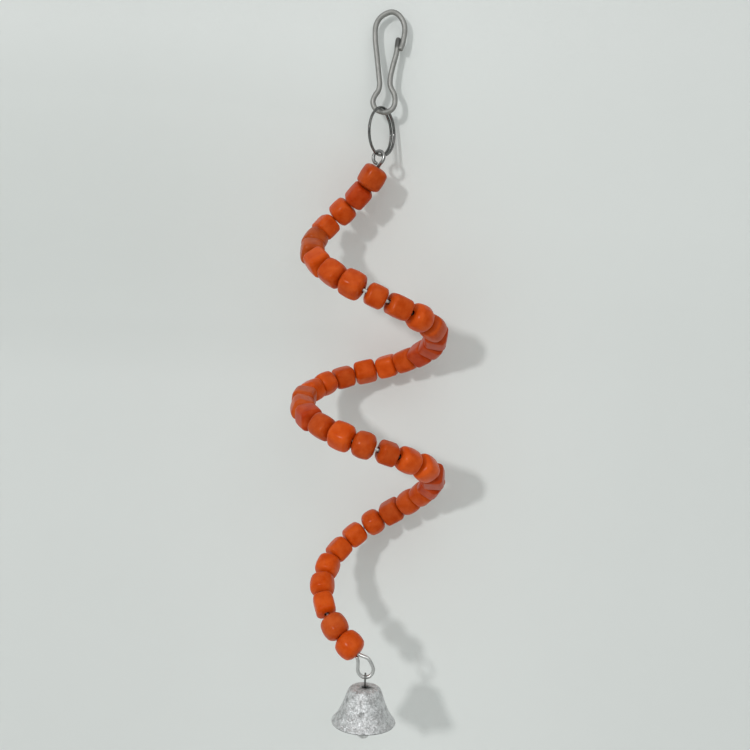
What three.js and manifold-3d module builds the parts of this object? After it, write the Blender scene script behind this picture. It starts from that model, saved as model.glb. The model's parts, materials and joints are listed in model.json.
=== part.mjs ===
// Hanging spiral perch for small cage birds: a wire snap hook, a split ring, a spiral of
// wooden beads on a stiff wire, and a bell under it.
// Millimetres, +Z up. The origin is the point inside the hook's top where it hangs.
// X runs to the right and +Y runs away from the viewer, toward the wall or the cage bars.
import * as THREE from "three";
import { mergeVertices } from "three/addons/utils/BufferGeometryUtils.js";
import Module from "manifold-3d";

// Driving dimensions
const CLEARANCE = 0.3; // gap kept between pieces that touch on the real toy

const HOOK_WIRE = 1.9; // diameter of the snap hook's wire
const HOOK_LENGTH = 42.6; // from the hanging point to the middle of the wire at the bulb's bottom

const RING_WIRE = 1.2;
const RING_OUTER = 21.4;
const RING_OVERLAP = 140; // degrees over which the split ring lies double
const RING_YAW = 60; // degrees from X to the ring's plane, seen from above

const WIRE = 1.5; // diameter of the spiral wire
const COIL_RADIUS = 29.4; // to the middle of the wire, at the widest turns
const COIL_MID_PITCH = 58; // drop for one turn at mid height
const COIL_END_PITCH = 104; // drop for one turn at the two ends
const COIL_START = 75; // degrees, the angle of bead 1
const COIL_SWEEP = 890; // degrees from bead 1 to the last bead
const COIL_TOP_RADIUS = 9.9;
const COIL_TOP_SPAN = 181; // degrees over which the coil opens from its top radius
const COIL_TOP_FORWARD = 11.4; // the top is bent forward so far, so that the coil hangs plumb under the ring
const COIL_TOP_FORWARD_SPAN = 117; // degrees over which that runs out
const COIL_BOTTOM_RADIUS = 20.4;
const COIL_BOTTOM_SPAN = 431; // degrees over which the coil closes to its bottom radius
const COIL_LEAN = 2.9; // degrees by which the coil's own axis leans to the right going down
// Small bends left by hand winding, at equal steps of angle from bead 1 to the last bead
const COIL_SIDE_BENDS = [-0.2, -0.7, -0.2, -0.7, 0.4, -0.4, -0.1, 0.1, 0.2, 2.1, 0.5, -0.2, -0.5, -0.2];
const COIL_RISE_BENDS = [-2.6, 1.1, 0.6, -1.0, -0.6, -0.6, 2.3, 2.4, 1.5, 0.8, -1.2, -1.1, -0.8, -0.7];
const FIRST_BEAD_LEFT = 2.3; // from the upper eye's middle to bead 1, seen from above
const FIRST_BEAD_BACK = 1.9;

const BEAD_COUNT = 44;
const BEAD_FILL_SHARE = 0.87; // bead length as a share of the spacing along the wire
const BEAD_WIDE_SHARE = 1.065; // bead width as a share of its length
const BEAD_EDGE_SHARE = 0.285; // edge radius as a share of the bead's length
const BEAD_BORE = 3.1;
const LOOSE_SHARE = 0.12; // extra spacing where beads stand apart
const LOOSE_AFTER = [9, 10, 11, 28, 42]; // beads with a visible gap below them

const UPPER_EYE_WIDTH = 6.8; // outside sizes of the eyes bent on the spiral wire
const UPPER_EYE_HEIGHT = 7.0;
const LOWER_EYE_WIDTH = 8.0;
const LOWER_EYE_HEIGHT = 10.1;

const BELL_MOUTH = 26.5;
const BELL_HEIGHT = 14.7;
const BELL_WALL = 1.1;
const BELL_WIRE = 0.8;
const BELL_NECK = 3.9; // from the lower eye's wire down to the top of the crown
const CLAPPER_WIRE = 0.7;
const CLAPPER_BALL = 5.5;
const CLAPPER_BELOW = 7.3; // from the bell's mouth down to the bottom of the ball

// Colours and finishes seen in the photo
const nickel = new THREE.MeshStandardMaterial({ color: 0xa9a9a6, roughness: 0.25, metalness: 1 });
const brightNickel = new THREE.MeshStandardMaterial({ color: 0xc2c2c0, roughness: 0.16, metalness: 1 });
const steel = new THREE.MeshStandardMaterial({ color: 0x8f8f8c, roughness: 0.35, metalness: 1 });
const orangePaint = new THREE.MeshStandardMaterial({ color: 0xcb5a1e, roughness: 0.42, metalness: 0 });
const castBell = new THREE.MeshStandardMaterial({ color: 0xb9b9ba, roughness: 0.45, metalness: 0.9 });
const darkSteel = new THREE.MeshStandardMaterial({ color: 0x6d6c69, roughness: 0.4, metalness: 1 });

const radians = THREE.MathUtils.degToRad;
const vec = (x, y, z) => new THREE.Vector3(x, y, z);
const ease = (share) => (1 - Math.cos(Math.PI * THREE.MathUtils.clamp(share, 0, 1))) / 2;

// Smooth curve through the points, thinned so that a bend keeps a ring every few degrees.
// The second and the last but one point are kept, so that the ends are square to their stretch.
function bendPoints(points, stepDegrees, stepLength) {
  const curve = new THREE.CatmullRomCurve3(points, false, "centripetal");
  const parts = 24;
  const fine = curve.getPoints((points.length - 1) * parts);
  const kept = [fine[0]];
  let turned = 0;
  let travelled = 0;
  for (let i = 1; i < fine.length - 1; i += 1) {
    const before = fine[i].clone().sub(fine[i - 1]);
    const after = fine[i + 1].clone().sub(fine[i]);
    turned += THREE.MathUtils.radToDeg(before.angleTo(after));
    travelled += before.length();
    const nearEnd = i < parts || i > fine.length - 1 - parts;
    const atEnd = i === parts || i === fine.length - 1 - parts;
    if (atEnd || (!nearEnd && (turned >= stepDegrees || travelled >= stepLength))) {
      kept.push(fine[i]);
      turned = 0;
      travelled = 0;
    }
  }
  kept.push(fine[fine.length - 1]);
  return kept;
}

// One unbroken tube with flat ends; the ring of corners is carried along without twist
function wireGeometry(points, diameter, sides) {
  const positions = [];
  const faces = [];
  const normal = vec(0, 0, 0);
  points.forEach((point, i) => {
    const ahead = points[Math.min(i + 1, points.length - 1)];
    const behind = points[Math.max(i - 1, 0)];
    const tangent = ahead.clone().sub(behind).normalize();
    if (i === 0) {
      normal.set(tangent.y, tangent.z, tangent.x);
    }
    normal.addScaledVector(tangent, -normal.dot(tangent)).normalize();
    const side = tangent.clone().cross(normal);
    for (let k = 0; k < sides; k += 1) {
      const angle = (2 * Math.PI * k) / sides;
      const corner = point.clone();
      corner.addScaledVector(normal, (diameter / 2) * Math.cos(angle));
      corner.addScaledVector(side, (diameter / 2) * Math.sin(angle));
      positions.push(corner.x, corner.y, corner.z);
    }
  });
  for (let i = 0; i < points.length - 1; i += 1) {
    for (let k = 0; k < sides; k += 1) {
      const a = i * sides + k;
      const b = i * sides + ((k + 1) % sides);
      faces.push(a, b, b + sides, a, b + sides, a + sides);
    }
  }
  const last = (points.length - 1) * sides;
  for (let k = 1; k < sides - 1; k += 1) {
    faces.push(0, k + 1, k);
    faces.push(last, last + k, last + k + 1);
  }
  const geometry = new THREE.BufferGeometry();
  geometry.setAttribute("position", new THREE.Float32BufferAttribute(positions, 3));
  geometry.setIndex(faces);
  geometry.computeVertexNormals();
  return geometry;
}

// Least gap of a tube to itself, between points more than four diameters apart along it
function leastGap(points, diameter) {
  const dense = new THREE.CatmullRomCurve3(points, false, "centripetal").getPoints(points.length * 6);
  const along = [0];
  for (let i = 1; i < dense.length; i += 1) {
    along.push(along[i - 1] + dense[i].distanceTo(dense[i - 1]));
  }
  let least = Infinity;
  for (let i = 0; i < dense.length; i += 1) {
    for (let j = i + 1; j < dense.length; j += 1) {
      if (along[j] - along[i] > 4 * diameter) {
        least = Math.min(least, dense[i].distanceTo(dense[j]) - diameter);
      }
    }
  }
  return least;
}

// Solid turned about Z from a profile of [radius, height] pairs that ends on the axis or on itself
function turnedGeometry(profile, segments) {
  const points = profile.map(([radius, height]) => new THREE.Vector2(radius, height));
  const geometry = new THREE.LatheGeometry(points, segments);
  return geometry.rotateX(Math.PI / 2);
}

const perch = new THREE.Group();
perch.name = "spiral_bird_perch";

function add(name, geometry, material) {
  const mesh = new THREE.Mesh(geometry, material);
  mesh.name = name;
  perch.add(mesh);
  return mesh;
}

// Snap hook
// The outline is drawn for a hook 44.5 long and scales with HOOK_LENGTH.
const hookScale = HOOK_LENGTH / 44.5;
const beside = HOOK_WIRE + 1.5 * CLEARANCE; // spacing of two hook wires that lie side by side
const hookPoint = (x, z, y = 0) => vec(x * hookScale, y, z * hookScale);
const catchTop = hookPoint(5.95, -12.4);
const gateTop = vec(catchTop.x - beside, 0, catchTop.z);

// The catch end bends forward and to the left, in front of the gate arm.
const catchEnd = [
  vec(gateTop.x - 0.1, -beside, catchTop.z - 3.5),
  vec(gateTop.x + 1.1, -0.9 * beside, catchTop.z - 3.0),
  vec(catchTop.x - 0.3, -0.4 * beside, catchTop.z - 1.6),
];
const hookPoints = [
  ...catchEnd,
  catchTop,
  hookPoint(6.35, -9.6),
  hookPoint(6.55, -7.2),
  hookPoint(6.2, -4.6),
  hookPoint(4.9, -1.8),
  hookPoint(2.8, 0.3),
  hookPoint(0.4, (HOOK_WIRE / 2) / hookScale),
  hookPoint(-2.2, 0.2),
  hookPoint(-4.9, -1.9),
  hookPoint(-6.55, -5.2),
  hookPoint(-6.7, -10.8),
  hookPoint(-5.5, -19.6),
  hookPoint(-4.25, -28.6),
  hookPoint(-3.85, -32.0),
  hookPoint(-4.3, -34.7),
  hookPoint(-5.75, -37.2),
  hookPoint(-6.55, -40.0),
  hookPoint(-5.3, -43.0),
  hookPoint(-1.5, -44.5),
  hookPoint(2.0, -43.2),
  hookPoint(3.3, -40.8),
  hookPoint(3.4, -39.4),
  vec(3.4 * hookScale, 0, -39.4 * hookScale + HOOK_WIRE / 2),
];
const bulbBottom = hookPoint(-1.5, -44.5);

// The gate arm goes on from the bulb's right side; its tip bends back behind the catch wire.
const hookEnd = hookPoints[hookPoints.length - 1];
const gateRoot = vec(hookEnd.x, 0, hookEnd.z + CLEARANCE);
const gatePoints = [
  gateRoot,
  vec(gateRoot.x, 0, gateRoot.z + HOOK_WIRE / 2),
  hookPoint(2.85, -35.9),
  hookPoint(1.75, -34.0),
  hookPoint(0.95, -32.0),
  hookPoint(0.85, -29.2),
  hookPoint(1.7, -24.0),
  vec(gateTop.x - 0.25, 0, gateTop.z - 4.5),
  gateTop,
  vec(gateTop.x + 0.3, 0.3 * beside, gateTop.z + 1.5),
  vec(gateTop.x + 1.1, 0.9 * beside, gateTop.z + 2.5),
  vec(catchTop.x + 0.1, 1.05 * beside, gateTop.z + 2.9),
];
add("hook_wire", wireGeometry(bendPoints(hookPoints, 14, 6), HOOK_WIRE, 8), nickel);
add("gate_arm", wireGeometry(bendPoints(gatePoints, 14, 6), HOOK_WIRE, 8), nickel);

// Split ring
const ringRadius = (RING_OUTER - RING_WIRE) / 2;
const ringAlong = vec(Math.cos(radians(RING_YAW)), Math.sin(radians(RING_YAW)), 0);
const ringAcross = vec(Math.sin(radians(RING_YAW)), -Math.cos(radians(RING_YAW)), 0);
const ringTurnGap = 1.5 * CLEARANCE;
// Sideways place of the wire after so many degrees from its first end, at the upper right
function ringOffset(degrees) {
  const single = 360 - RING_OVERLAP;
  return (RING_WIRE + ringTurnGap) * (ease((degrees - RING_OVERLAP) / single) - 0.5);
}
const topAfter = 270 + RING_OVERLAP / 2;
const bottomAfter = 90 + RING_OVERLAP / 2;
const ringCentre = bulbBottom.clone();
ringCentre.z += HOOK_WIRE / 2 + CLEARANCE + RING_WIRE / 2 - ringRadius;
ringCentre.addScaledVector(ringAcross, -ringOffset(topAfter));
function ringPoint(degrees) {
  const angle = radians(RING_OVERLAP / 2 - degrees);
  const point = ringCentre.clone();
  point.addScaledVector(ringAlong, ringRadius * Math.cos(angle));
  point.addScaledVector(ringAcross, ringOffset(degrees));
  point.z += ringRadius * Math.sin(angle);
  return point;
}
const ringSteps = 36;
const ringTotal = 360 + RING_OVERLAP;
const ringPoints = Array.from({ length: ringSteps + 1 }, (_, i) => ringPoint((ringTotal * i) / ringSteps));
add("split_ring", wireGeometry(ringPoints, RING_WIRE, 6), brightNickel);
const ringBottom = ringPoint(bottomAfter);

// Spiral wire
// The coil's angle is 90 at the back, 180 at the left, 270 at the front and 360 at the right.
const coilTurns = COIL_SWEEP / 360;
const bendSteps = COIL_SIDE_BENDS.map((side, i) => vec(side, 0, COIL_RISE_BENDS[i]));
const coilBends = new THREE.CatmullRomCurve3(bendSteps, false, "catmullrom", 0.5);
function rawCoilPoint(degrees) {
  const share = (degrees - COIL_START) / COIL_SWEEP;
  const tau = 2 * share - 1;
  const extra = (COIL_END_PITCH - COIL_MID_PITCH) * (tau / 2 - Math.sin(Math.PI * tau) / (2 * Math.PI));
  const drop = (coilTurns / 2) * (COIL_MID_PITCH * tau + extra);
  const top = 1 - ease((degrees - COIL_START) / COIL_TOP_SPAN);
  const bottom = 1 - ease((COIL_START + COIL_SWEEP - degrees) / COIL_BOTTOM_SPAN);
  const narrow = (COIL_RADIUS - COIL_TOP_RADIUS) * top + (COIL_RADIUS - COIL_BOTTOM_RADIUS) * bottom;
  const radius = COIL_RADIUS - narrow;
  const point = vec(radius * Math.cos(radians(degrees)), radius * Math.sin(radians(degrees)), -drop);
  point.y -= COIL_TOP_FORWARD * (1 - ease((degrees - COIL_START) / COIL_TOP_FORWARD_SPAN));
  point.add(coilBends.getPoint(THREE.MathUtils.clamp(share, 0, 1)));
  return point.applyAxisAngle(vec(0, 1, 0), -radians(COIL_LEAN));
}

// The coil in steps of one degree with the length along it, from above bead 1 to below the last.
// Its place is set further down, from the upper eye.
const coilPlace = vec(0, 0, 0);
const coilMargin = 60;
const coilSamples = [];
let coilLength = 0;
for (let degrees = COIL_START - coilMargin; degrees <= COIL_START + COIL_SWEEP + coilMargin; degrees += 1) {
  const point = rawCoilPoint(degrees);
  if (coilSamples.length > 0) {
    coilLength += point.distanceTo(coilSamples[coilSamples.length - 1].point);
  }
  coilSamples.push({ point, length: coilLength });
}
function coilAtLength(length) {
  const next = coilSamples.findIndex((sample) => sample.length >= length);
  const before = coilSamples[next - 1];
  const after = coilSamples[next];
  const share = (length - before.length) / (after.length - before.length);
  return before.point.clone().lerp(after.point, share).add(coilPlace);
}

// Bead places: equal spacing along the wire, with a little more where beads stand apart
const firstLength = coilSamples[coilMargin].length;
const lastLength = coilSamples[coilMargin + Math.round(COIL_SWEEP)].length;
const spacing = (lastLength - firstLength) / (BEAD_COUNT - 1 + LOOSE_SHARE * LOOSE_AFTER.length);
const beadLength = BEAD_FILL_SHARE * spacing;
const beadLengths = [firstLength];
for (let i = 1; i < BEAD_COUNT; i += 1) {
  const loose = LOOSE_AFTER.includes(i) ? LOOSE_SHARE : 0;
  beadLengths.push(beadLengths[i - 1] + spacing * (1 + loose));
}

// Upper eye: round the ring's bottom, square to it, closed at the lower left
const upperAcross = (UPPER_EYE_WIDTH - WIRE) / 2;
const upperTall = (UPPER_EYE_HEIGHT - WIRE) / 2;
const upperCentre = ringBottom.clone();
upperCentre.z += RING_WIRE / 2 + CLEARANCE + WIRE / 2 - upperTall;
function upperEyePoint(degrees) {
  const point = upperCentre.clone();
  point.addScaledVector(ringAcross, upperAcross * Math.cos(radians(degrees)));
  point.z += upperTall * Math.sin(radians(degrees));
  return point;
}
const upperEye = [];
for (let degrees = 216; degrees >= -44; degrees -= 20) {
  upperEye.push(upperEyePoint(degrees));
}

// Bead 1 stands just under the eye and carries the coil's place with it
const firstBead = upperCentre.clone();
firstBead.x -= FIRST_BEAD_LEFT;
firstBead.y += FIRST_BEAD_BACK;
firstBead.z -= upperTall + WIRE / 2 + 2 * CLEARANCE + beadLength / 2;
coilPlace.copy(firstBead).sub(rawCoilPoint(COIL_START));

// Stretch of coil from the top of bead 1 to the bottom of the last bead
const wireFrom = firstLength - 0.52 * spacing;
const wireTo = beadLengths[BEAD_COUNT - 1] + 0.5 * spacing;
const coilSteps = 110;
const coilRun = [];
for (let i = 0; i <= coilSteps; i += 1) {
  coilRun.push(coilAtLength(wireFrom + ((wireTo - wireFrom) * i) / coilSteps));
}

// Lower eye: a drop shape square to the view, entered on its right side and closed at the upper left
const lowerAcross = (LOWER_EYE_WIDTH - WIRE) / 2;
const lowerPeak = LOWER_EYE_HEIGHT - WIRE - lowerAcross; // from the round part's centre to the top
const coilEnd = coilRun[coilSteps];
const lowerCentre = vec(coilEnd.x + 3.1, coilEnd.y - 0.9, coilEnd.z - lowerPeak - 0.6);
function lowerEyePoint(degrees, stretch) {
  const x = lowerAcross * Math.sin(radians(degrees));
  const up = lowerAcross * Math.cos(radians(degrees));
  return vec(lowerCentre.x + x * stretch, lowerCentre.y, lowerCentre.z + (up > 0 ? up * 1.25 : up));
}
const lowerEye = [
  vec(lowerCentre.x + 0.25 * lowerAcross, lowerCentre.y, lowerCentre.z + 0.86 * lowerPeak),
  lowerEyePoint(62, 0.92),
];
for (let degrees = 90; degrees <= 270; degrees += 20) {
  lowerEye.push(lowerEyePoint(degrees, 1));
}
lowerEye.push(lowerEyePoint(300, 0.9));
lowerEye.push(vec(lowerCentre.x - 0.55 * lowerAcross, lowerCentre.y, lowerCentre.z + 0.6 * lowerPeak));
const lowerBottom = vec(lowerCentre.x, lowerCentre.y, lowerCentre.z - lowerAcross);

const wirePoints = bendPoints([...upperEye, ...coilRun, ...lowerEye], 13, 5);
add("spiral_wire", wireGeometry(wirePoints, WIRE, 8), steel);

// Beads
const wasm = await Module();
wasm.setup();
function toSolid(geometry) {
  const plain = geometry.clone();
  plain.deleteAttribute("normal");
  plain.deleteAttribute("uv");
  const merged = mergeVertices(plain, 1e-4);
  const vertProperties = new Float32Array(merged.attributes.position.array);
  const triVerts = new Uint32Array(merged.index.array);
  return new wasm.Manifold(new wasm.Mesh({ numProp: 3, vertProperties, triVerts }));
}
function toGeometry(solid) {
  const mesh = solid.getMesh();
  const geometry = new THREE.BufferGeometry();
  geometry.setAttribute("position", new THREE.Float32BufferAttribute(Array.from(mesh.vertProperties), 3));
  geometry.setIndex(Array.from(mesh.triVerts));
  geometry.computeVertexNormals();
  return geometry;
}

// A cube with rounded edges and a bore along Z
function beadGeometry(length) {
  const edge = BEAD_EDGE_SHARE * length;
  const core = (BEAD_WIDE_SHARE * length) / 2 - edge;
  const corner = 0.2 * core;
  const straight = core - corner;
  const outline = new THREE.Shape();
  outline.absarc(straight, straight, corner, 0, Math.PI / 2);
  outline.absarc(-straight, straight, corner, Math.PI / 2, Math.PI);
  outline.absarc(-straight, -straight, corner, Math.PI, 1.5 * Math.PI);
  outline.absarc(straight, -straight, corner, 1.5 * Math.PI, 2 * Math.PI);
  const depth = length - 2 * edge;
  const block = new THREE.ExtrudeGeometry(outline, {
    depth,
    steps: 1,
    curveSegments: 1,
    bevelThickness: edge,
    bevelSize: edge,
    bevelSegments: 2,
  });
  block.translate(0, 0, -depth / 2);
  const drill = new THREE.CylinderGeometry(BEAD_BORE / 2, BEAD_BORE / 2, length + 2, 12).rotateX(Math.PI / 2);
  return toGeometry(toSolid(block).subtract(toSolid(drill)));
}
const beadForms = [1, 0.985, 0.97].map((share) => beadGeometry(share * beadLength));

// How far each bead has turned on the wire, in degrees from flat side outward
const beadRolls = [
  20, 8, 30, 0, 38, 25, 12, 35, 40, 3, 6, 30, 15, 42, 8, 28, 2, 4, 40, 18, 33, 10,
  25, 5, 36, 14, 38, 22, 2, 34, 12, 44, 20, 8, 40, 16, 27, 35, 1, 24, 10, 4, 30, 45,
];
// Which of the three bead sizes each bead has
const beadSizes = [
  0, 1, 1, 0, 2, 1, 0, 1, 0, 0, 1, 2, 1, 0, 2, 1, 0, 1, 0, 2, 1, 0,
  2, 1, 0, 1, 0, 2, 0, 1, 0, 1, 2, 0, 1, 2, 0, 1, 0, 1, 2, 0, 1, 0,
];
const beadAxes = [];
beadLengths.forEach((length, i) => {
  const middle = coilAtLength(length);
  const upper = coilAtLength(length - 0.45 * beadLength);
  const lower = coilAtLength(length + 0.45 * beadLength);
  const axis = upper.clone().sub(lower).normalize();
  const chord = upper.clone().add(lower).multiplyScalar(0.5);
  const centre = middle.clone().lerp(chord, 0.5);
  const outward = middle.clone().sub(chord);
  outward.addScaledVector(axis, -outward.dot(axis)).normalize();
  const side = axis.clone().cross(outward);
  const bead = add(
    `bead_${String(i + 1).padStart(2, "0")}`,
    beadForms[beadSizes[i % beadSizes.length]],
    orangePaint,
  );
  bead.position.copy(centre);
  bead.quaternion.setFromRotationMatrix(new THREE.Matrix4().makeBasis(outward, side, axis));
  bead.rotateZ(radians(beadRolls[i % beadRolls.length]));
  beadAxes.push({ name: bead.name, centre, axis });
});

// Bell wire: a hairpin over the lower eye, through the crown, with a foot and a hook inside
const loopRadius = WIRE / 2 + CLEARANCE + BELL_WIRE / 2;
const legHalf = BELL_WIRE / 2 + CLEARANCE;
const footLevel = -(BELL_NECK + BELL_WALL + CLEARANCE + BELL_WIRE / 2);
const hookHalf = CLAPPER_WIRE / 2 + 0.8 * CLEARANCE + BELL_WIRE / 2;
const hookLevel = footLevel - 1.6;
const bellPoint = (y, z) => vec(lowerBottom.x, lowerBottom.y + y, lowerBottom.z + z);
const bellWirePoints = [bellPoint(legHalf + 2.6, footLevel), bellPoint(legHalf + 0.9, footLevel)];
bellWirePoints.push(bellPoint(legHalf + 0.2, footLevel + 0.25));
bellWirePoints.push(bellPoint(legHalf, footLevel + 0.9));
bellWirePoints.push(bellPoint(legHalf, -BELL_NECK));
bellWirePoints.push(bellPoint(0.8 * loopRadius, -0.55 * BELL_NECK));
for (let degrees = 0; degrees <= 180; degrees += 30) {
  const angle = radians(degrees);
  bellWirePoints.push(bellPoint(loopRadius * Math.cos(angle), loopRadius * Math.sin(angle)));
}
bellWirePoints.push(bellPoint(-0.8 * loopRadius, -0.55 * BELL_NECK));
bellWirePoints.push(bellPoint(-legHalf, -BELL_NECK));
bellWirePoints.push(bellPoint(-legHalf, footLevel));
for (let degrees = 180; degrees <= 360; degrees += 30) {
  const angle = radians(degrees);
  bellWirePoints.push(bellPoint(hookHalf * Math.cos(angle), hookLevel + hookHalf * Math.sin(angle)));
}
bellWirePoints.push(bellPoint(hookHalf, hookLevel + 0.3));
add("bell_wire", wireGeometry(bendPoints(bellWirePoints, 24, 3), BELL_WIRE, 6), darkSteel);

// Bell shell: outside from the crown's hole to the lip, and inside back to the hole
const crownHole = legHalf + BELL_WIRE / 2 + CLEARANCE;
const bellOut = (radius, drop) => [(radius * BELL_MOUTH) / 26.5, (-drop * BELL_HEIGHT) / 14.7];
const bellOutside = [
  bellOut(5.5, 0),
  bellOut(6.5, 0.45),
  bellOut(7.25, 1.7),
  bellOut(7.85, 3.6),
  bellOut(8.45, 5.8),
  bellOut(9.15, 8.0),
  bellOut(10.15, 10.3),
  bellOut(11.6, 12.6),
  bellOut(13.25, 14.3),
];
const bellInside = bellOutside.slice(2).reverse().map(([radius, height]) => [radius - BELL_WALL, height]);
const bellProfile = [
  [crownHole, 0],
  ...bellOutside,
  bellOut(13.1, 14.7),
  [bellInside[0][0], -BELL_HEIGHT],
  ...bellInside.slice(0, -1),
  [bellOutside[1][0] - BELL_WALL, -BELL_WALL - 0.4],
  [bellOutside[0][0] - BELL_WALL, -BELL_WALL],
  [crownHole, -BELL_WALL],
  [crownHole, 0],
];
const crown = bellPoint(0, -BELL_NECK);
add("bell_shell", turnedGeometry(bellProfile.reverse(), 32), castBell).position.copy(crown);

// Clapper: a small eye on the bell wire's hook, a stem, and a ball with a blind bore on its end
const hookBottom = hookLevel - hookHalf;
const clapperLoop = CLAPPER_WIRE / 2 + BELL_WIRE / 2 + 0.5;
const clapperTop = hookBottom + BELL_WIRE / 2 + 0.8 * CLEARANCE + CLAPPER_WIRE / 2;
const ballCentre = -(BELL_NECK + BELL_HEIGHT + CLAPPER_BELOW) + CLAPPER_BALL / 2;
const clapperPoint = (x, z) => vec(lowerBottom.x + x, lowerBottom.y, lowerBottom.z + z);
const clapperPoints = [];
for (let degrees = 222; degrees >= -60; degrees -= 31) {
  const angle = radians(degrees);
  const up = clapperTop - clapperLoop + clapperLoop * Math.sin(angle);
  clapperPoints.push(clapperPoint(clapperLoop * Math.cos(angle), up));
}
clapperPoints.push(clapperPoint(0.1, clapperTop - 2 * clapperLoop - 0.9));
clapperPoints.push(clapperPoint(0, clapperTop - 2 * clapperLoop - 2));
clapperPoints.push(clapperPoint(0, ballCentre));
add("clapper_wire", wireGeometry(bendPoints(clapperPoints, 26, 8), CLAPPER_WIRE, 6), darkSteel);

const ballRadius = CLAPPER_BALL / 2;
const ballBore = CLAPPER_WIRE / 2 + CLEARANCE;
const ballProfile = [[0, -ballRadius]];
const ballTopAngle = Math.acos(ballBore / ballRadius);
for (let i = 1; i <= 8; i += 1) {
  const angle = -Math.PI / 2 + ((Math.PI / 2 + ballTopAngle) * i) / 8;
  ballProfile.push([ballRadius * Math.cos(angle), ballRadius * Math.sin(angle)]);
}
ballProfile.push([ballBore, -CLEARANCE], [0, -CLEARANCE]);
add("clapper_ball", turnedGeometry(ballProfile, 14), darkSteel).position.copy(clapperPoint(0, ballCentre));

// Measures for the record
const show = (point) => point.toArray().map((value) => value.toFixed(3)).join(", ");
console.log(`bead spacing ${spacing.toFixed(3)}, bead length ${beadLength.toFixed(3)}`);
console.log(`least gap of the spiral wire to itself ${leastGap(wirePoints, WIRE).toFixed(3)}`);
console.log(`least gap of the split ring to itself ${leastGap(ringPoints, RING_WIRE).toFixed(3)}`);
console.log(`least gap of the bell wire to itself ${leastGap(bellWirePoints, BELL_WIRE).toFixed(3)}`);
console.log(`least gap of the clapper wire to itself ${leastGap(clapperPoints, CLAPPER_WIRE).toFixed(3)}`);
console.log(`gate root ${show(gateRoot)}`);
console.log(`bulb bottom ${show(bulbBottom)}, ring bottom ${show(ringBottom)}, along ${show(ringAlong)}`);
console.log(`ring centre ${show(ringCentre)}`);
console.log(`lower eye's wire ${show(lowerBottom)}, bell crown ${show(crown)}`);
console.log(`clapper pivot ${show(clapperPoint(0, hookBottom))}, ball ${show(clapperPoint(0, ballCentre))}`);
beadAxes.forEach(({ name, centre, axis }) => console.log(`${name} at ${show(centre)} along ${show(axis)}`));

export default perch;
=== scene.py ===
# %% [markdown]
# # Spiral bird perch
# A hanging toy for small cage birds: a wire snap hook, a split ring, a stiff wire wound in a loose
# spiral and threaded with painted wooden cubes, and a small cast bell below.
# The imported CAD part is the fixed frame. Each piece below is made where the CAD has it, in metres,
# and all but the gate arm ride on the CAD body that moves them.
# %% Load the frame
import json
import random
from functools import partial
from math import acos, cos, exp, pi, radians, sin, sqrt, tan, tanh

import bmesh
import bpy
from mathutils import Matrix, Vector, noise


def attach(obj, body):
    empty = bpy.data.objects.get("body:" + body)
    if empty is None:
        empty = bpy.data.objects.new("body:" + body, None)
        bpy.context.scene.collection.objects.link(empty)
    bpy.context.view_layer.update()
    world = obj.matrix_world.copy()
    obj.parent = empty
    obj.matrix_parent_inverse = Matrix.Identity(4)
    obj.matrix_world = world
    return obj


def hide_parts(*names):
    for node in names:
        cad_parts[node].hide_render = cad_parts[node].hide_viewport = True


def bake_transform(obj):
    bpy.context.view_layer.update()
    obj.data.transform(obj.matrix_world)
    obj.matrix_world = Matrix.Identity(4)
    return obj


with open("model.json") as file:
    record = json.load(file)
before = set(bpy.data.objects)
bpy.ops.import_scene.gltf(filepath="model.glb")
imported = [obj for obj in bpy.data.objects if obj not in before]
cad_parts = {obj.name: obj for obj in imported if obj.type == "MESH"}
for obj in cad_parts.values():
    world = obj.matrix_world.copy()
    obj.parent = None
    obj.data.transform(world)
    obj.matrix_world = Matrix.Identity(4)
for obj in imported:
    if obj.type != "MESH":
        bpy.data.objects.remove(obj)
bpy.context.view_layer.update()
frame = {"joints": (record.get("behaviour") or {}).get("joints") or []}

MM = 0.001

# %% [markdown]
# ## Camera
# The photo was taken from about 0.43 m in front of the wall, level with the middle of the toy, and it
# leans a little. A camera that looks straight along +Y with a small downward shift keeps the wall
# square to the view; turning it about its own axis gives the lean.
# %% Camera
PICTURE_SIDE = 750  # pixels
FOCAL_PIXELS = 902  # focal length in pixels of the picture
WALL_PIXEL = 0.482 * MM  # what one pixel covers on the wall
WALL_Y = 43.8 * MM  # where that is measured
LEAN = radians(2.4)
SHIFT_X, SHIFT_Y = -1.4, -33.0  # pixels
EYE_X, EYE_Z = -0.4 * MM, -142.2 * MM
SENSOR = 36.0


def put(name, data):
    """A new object in the scene."""
    made = bpy.data.objects.new(name, data)
    bpy.context.scene.collection.objects.link(made)
    return made


camera_data = bpy.data.cameras.new("photo_camera")
camera_data.sensor_width = SENSOR
camera_data.lens = SENSOR * FOCAL_PIXELS / PICTURE_SIDE
camera_data.shift_x = SHIFT_X / PICTURE_SIDE
camera_data.shift_y = SHIFT_Y / PICTURE_SIDE
camera = put("photo_camera", camera_data)
bpy.context.scene.camera = camera
stand = Matrix.Translation((EYE_X, WALL_Y - FOCAL_PIXELS * WALL_PIXEL, EYE_Z))
camera.matrix_world = stand @ Matrix.Rotation(radians(90), 4, "X") @ Matrix.Rotation(LEAN, 4, "Z")
print("camera at", [round(v, 4) for v in camera.matrix_world.translation], "lens", round(camera_data.lens, 2))

# %% [markdown]
# ## Node helpers
# Shader trees and geometry trees are built from the same few moves: make a node, set its sockets,
# and link others to it. These short helpers keep the trees below readable.
# %% Node helpers
def feed(socket, value):
    if isinstance(value, bpy.types.NodeSocket):
        socket.id_data.links.new(value, socket)  # a socket knows its tree
    else:
        socket.default_value = value


def set_inputs(made, values):
    for key, value in values.items():
        feed(made.inputs[key], value)


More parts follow.
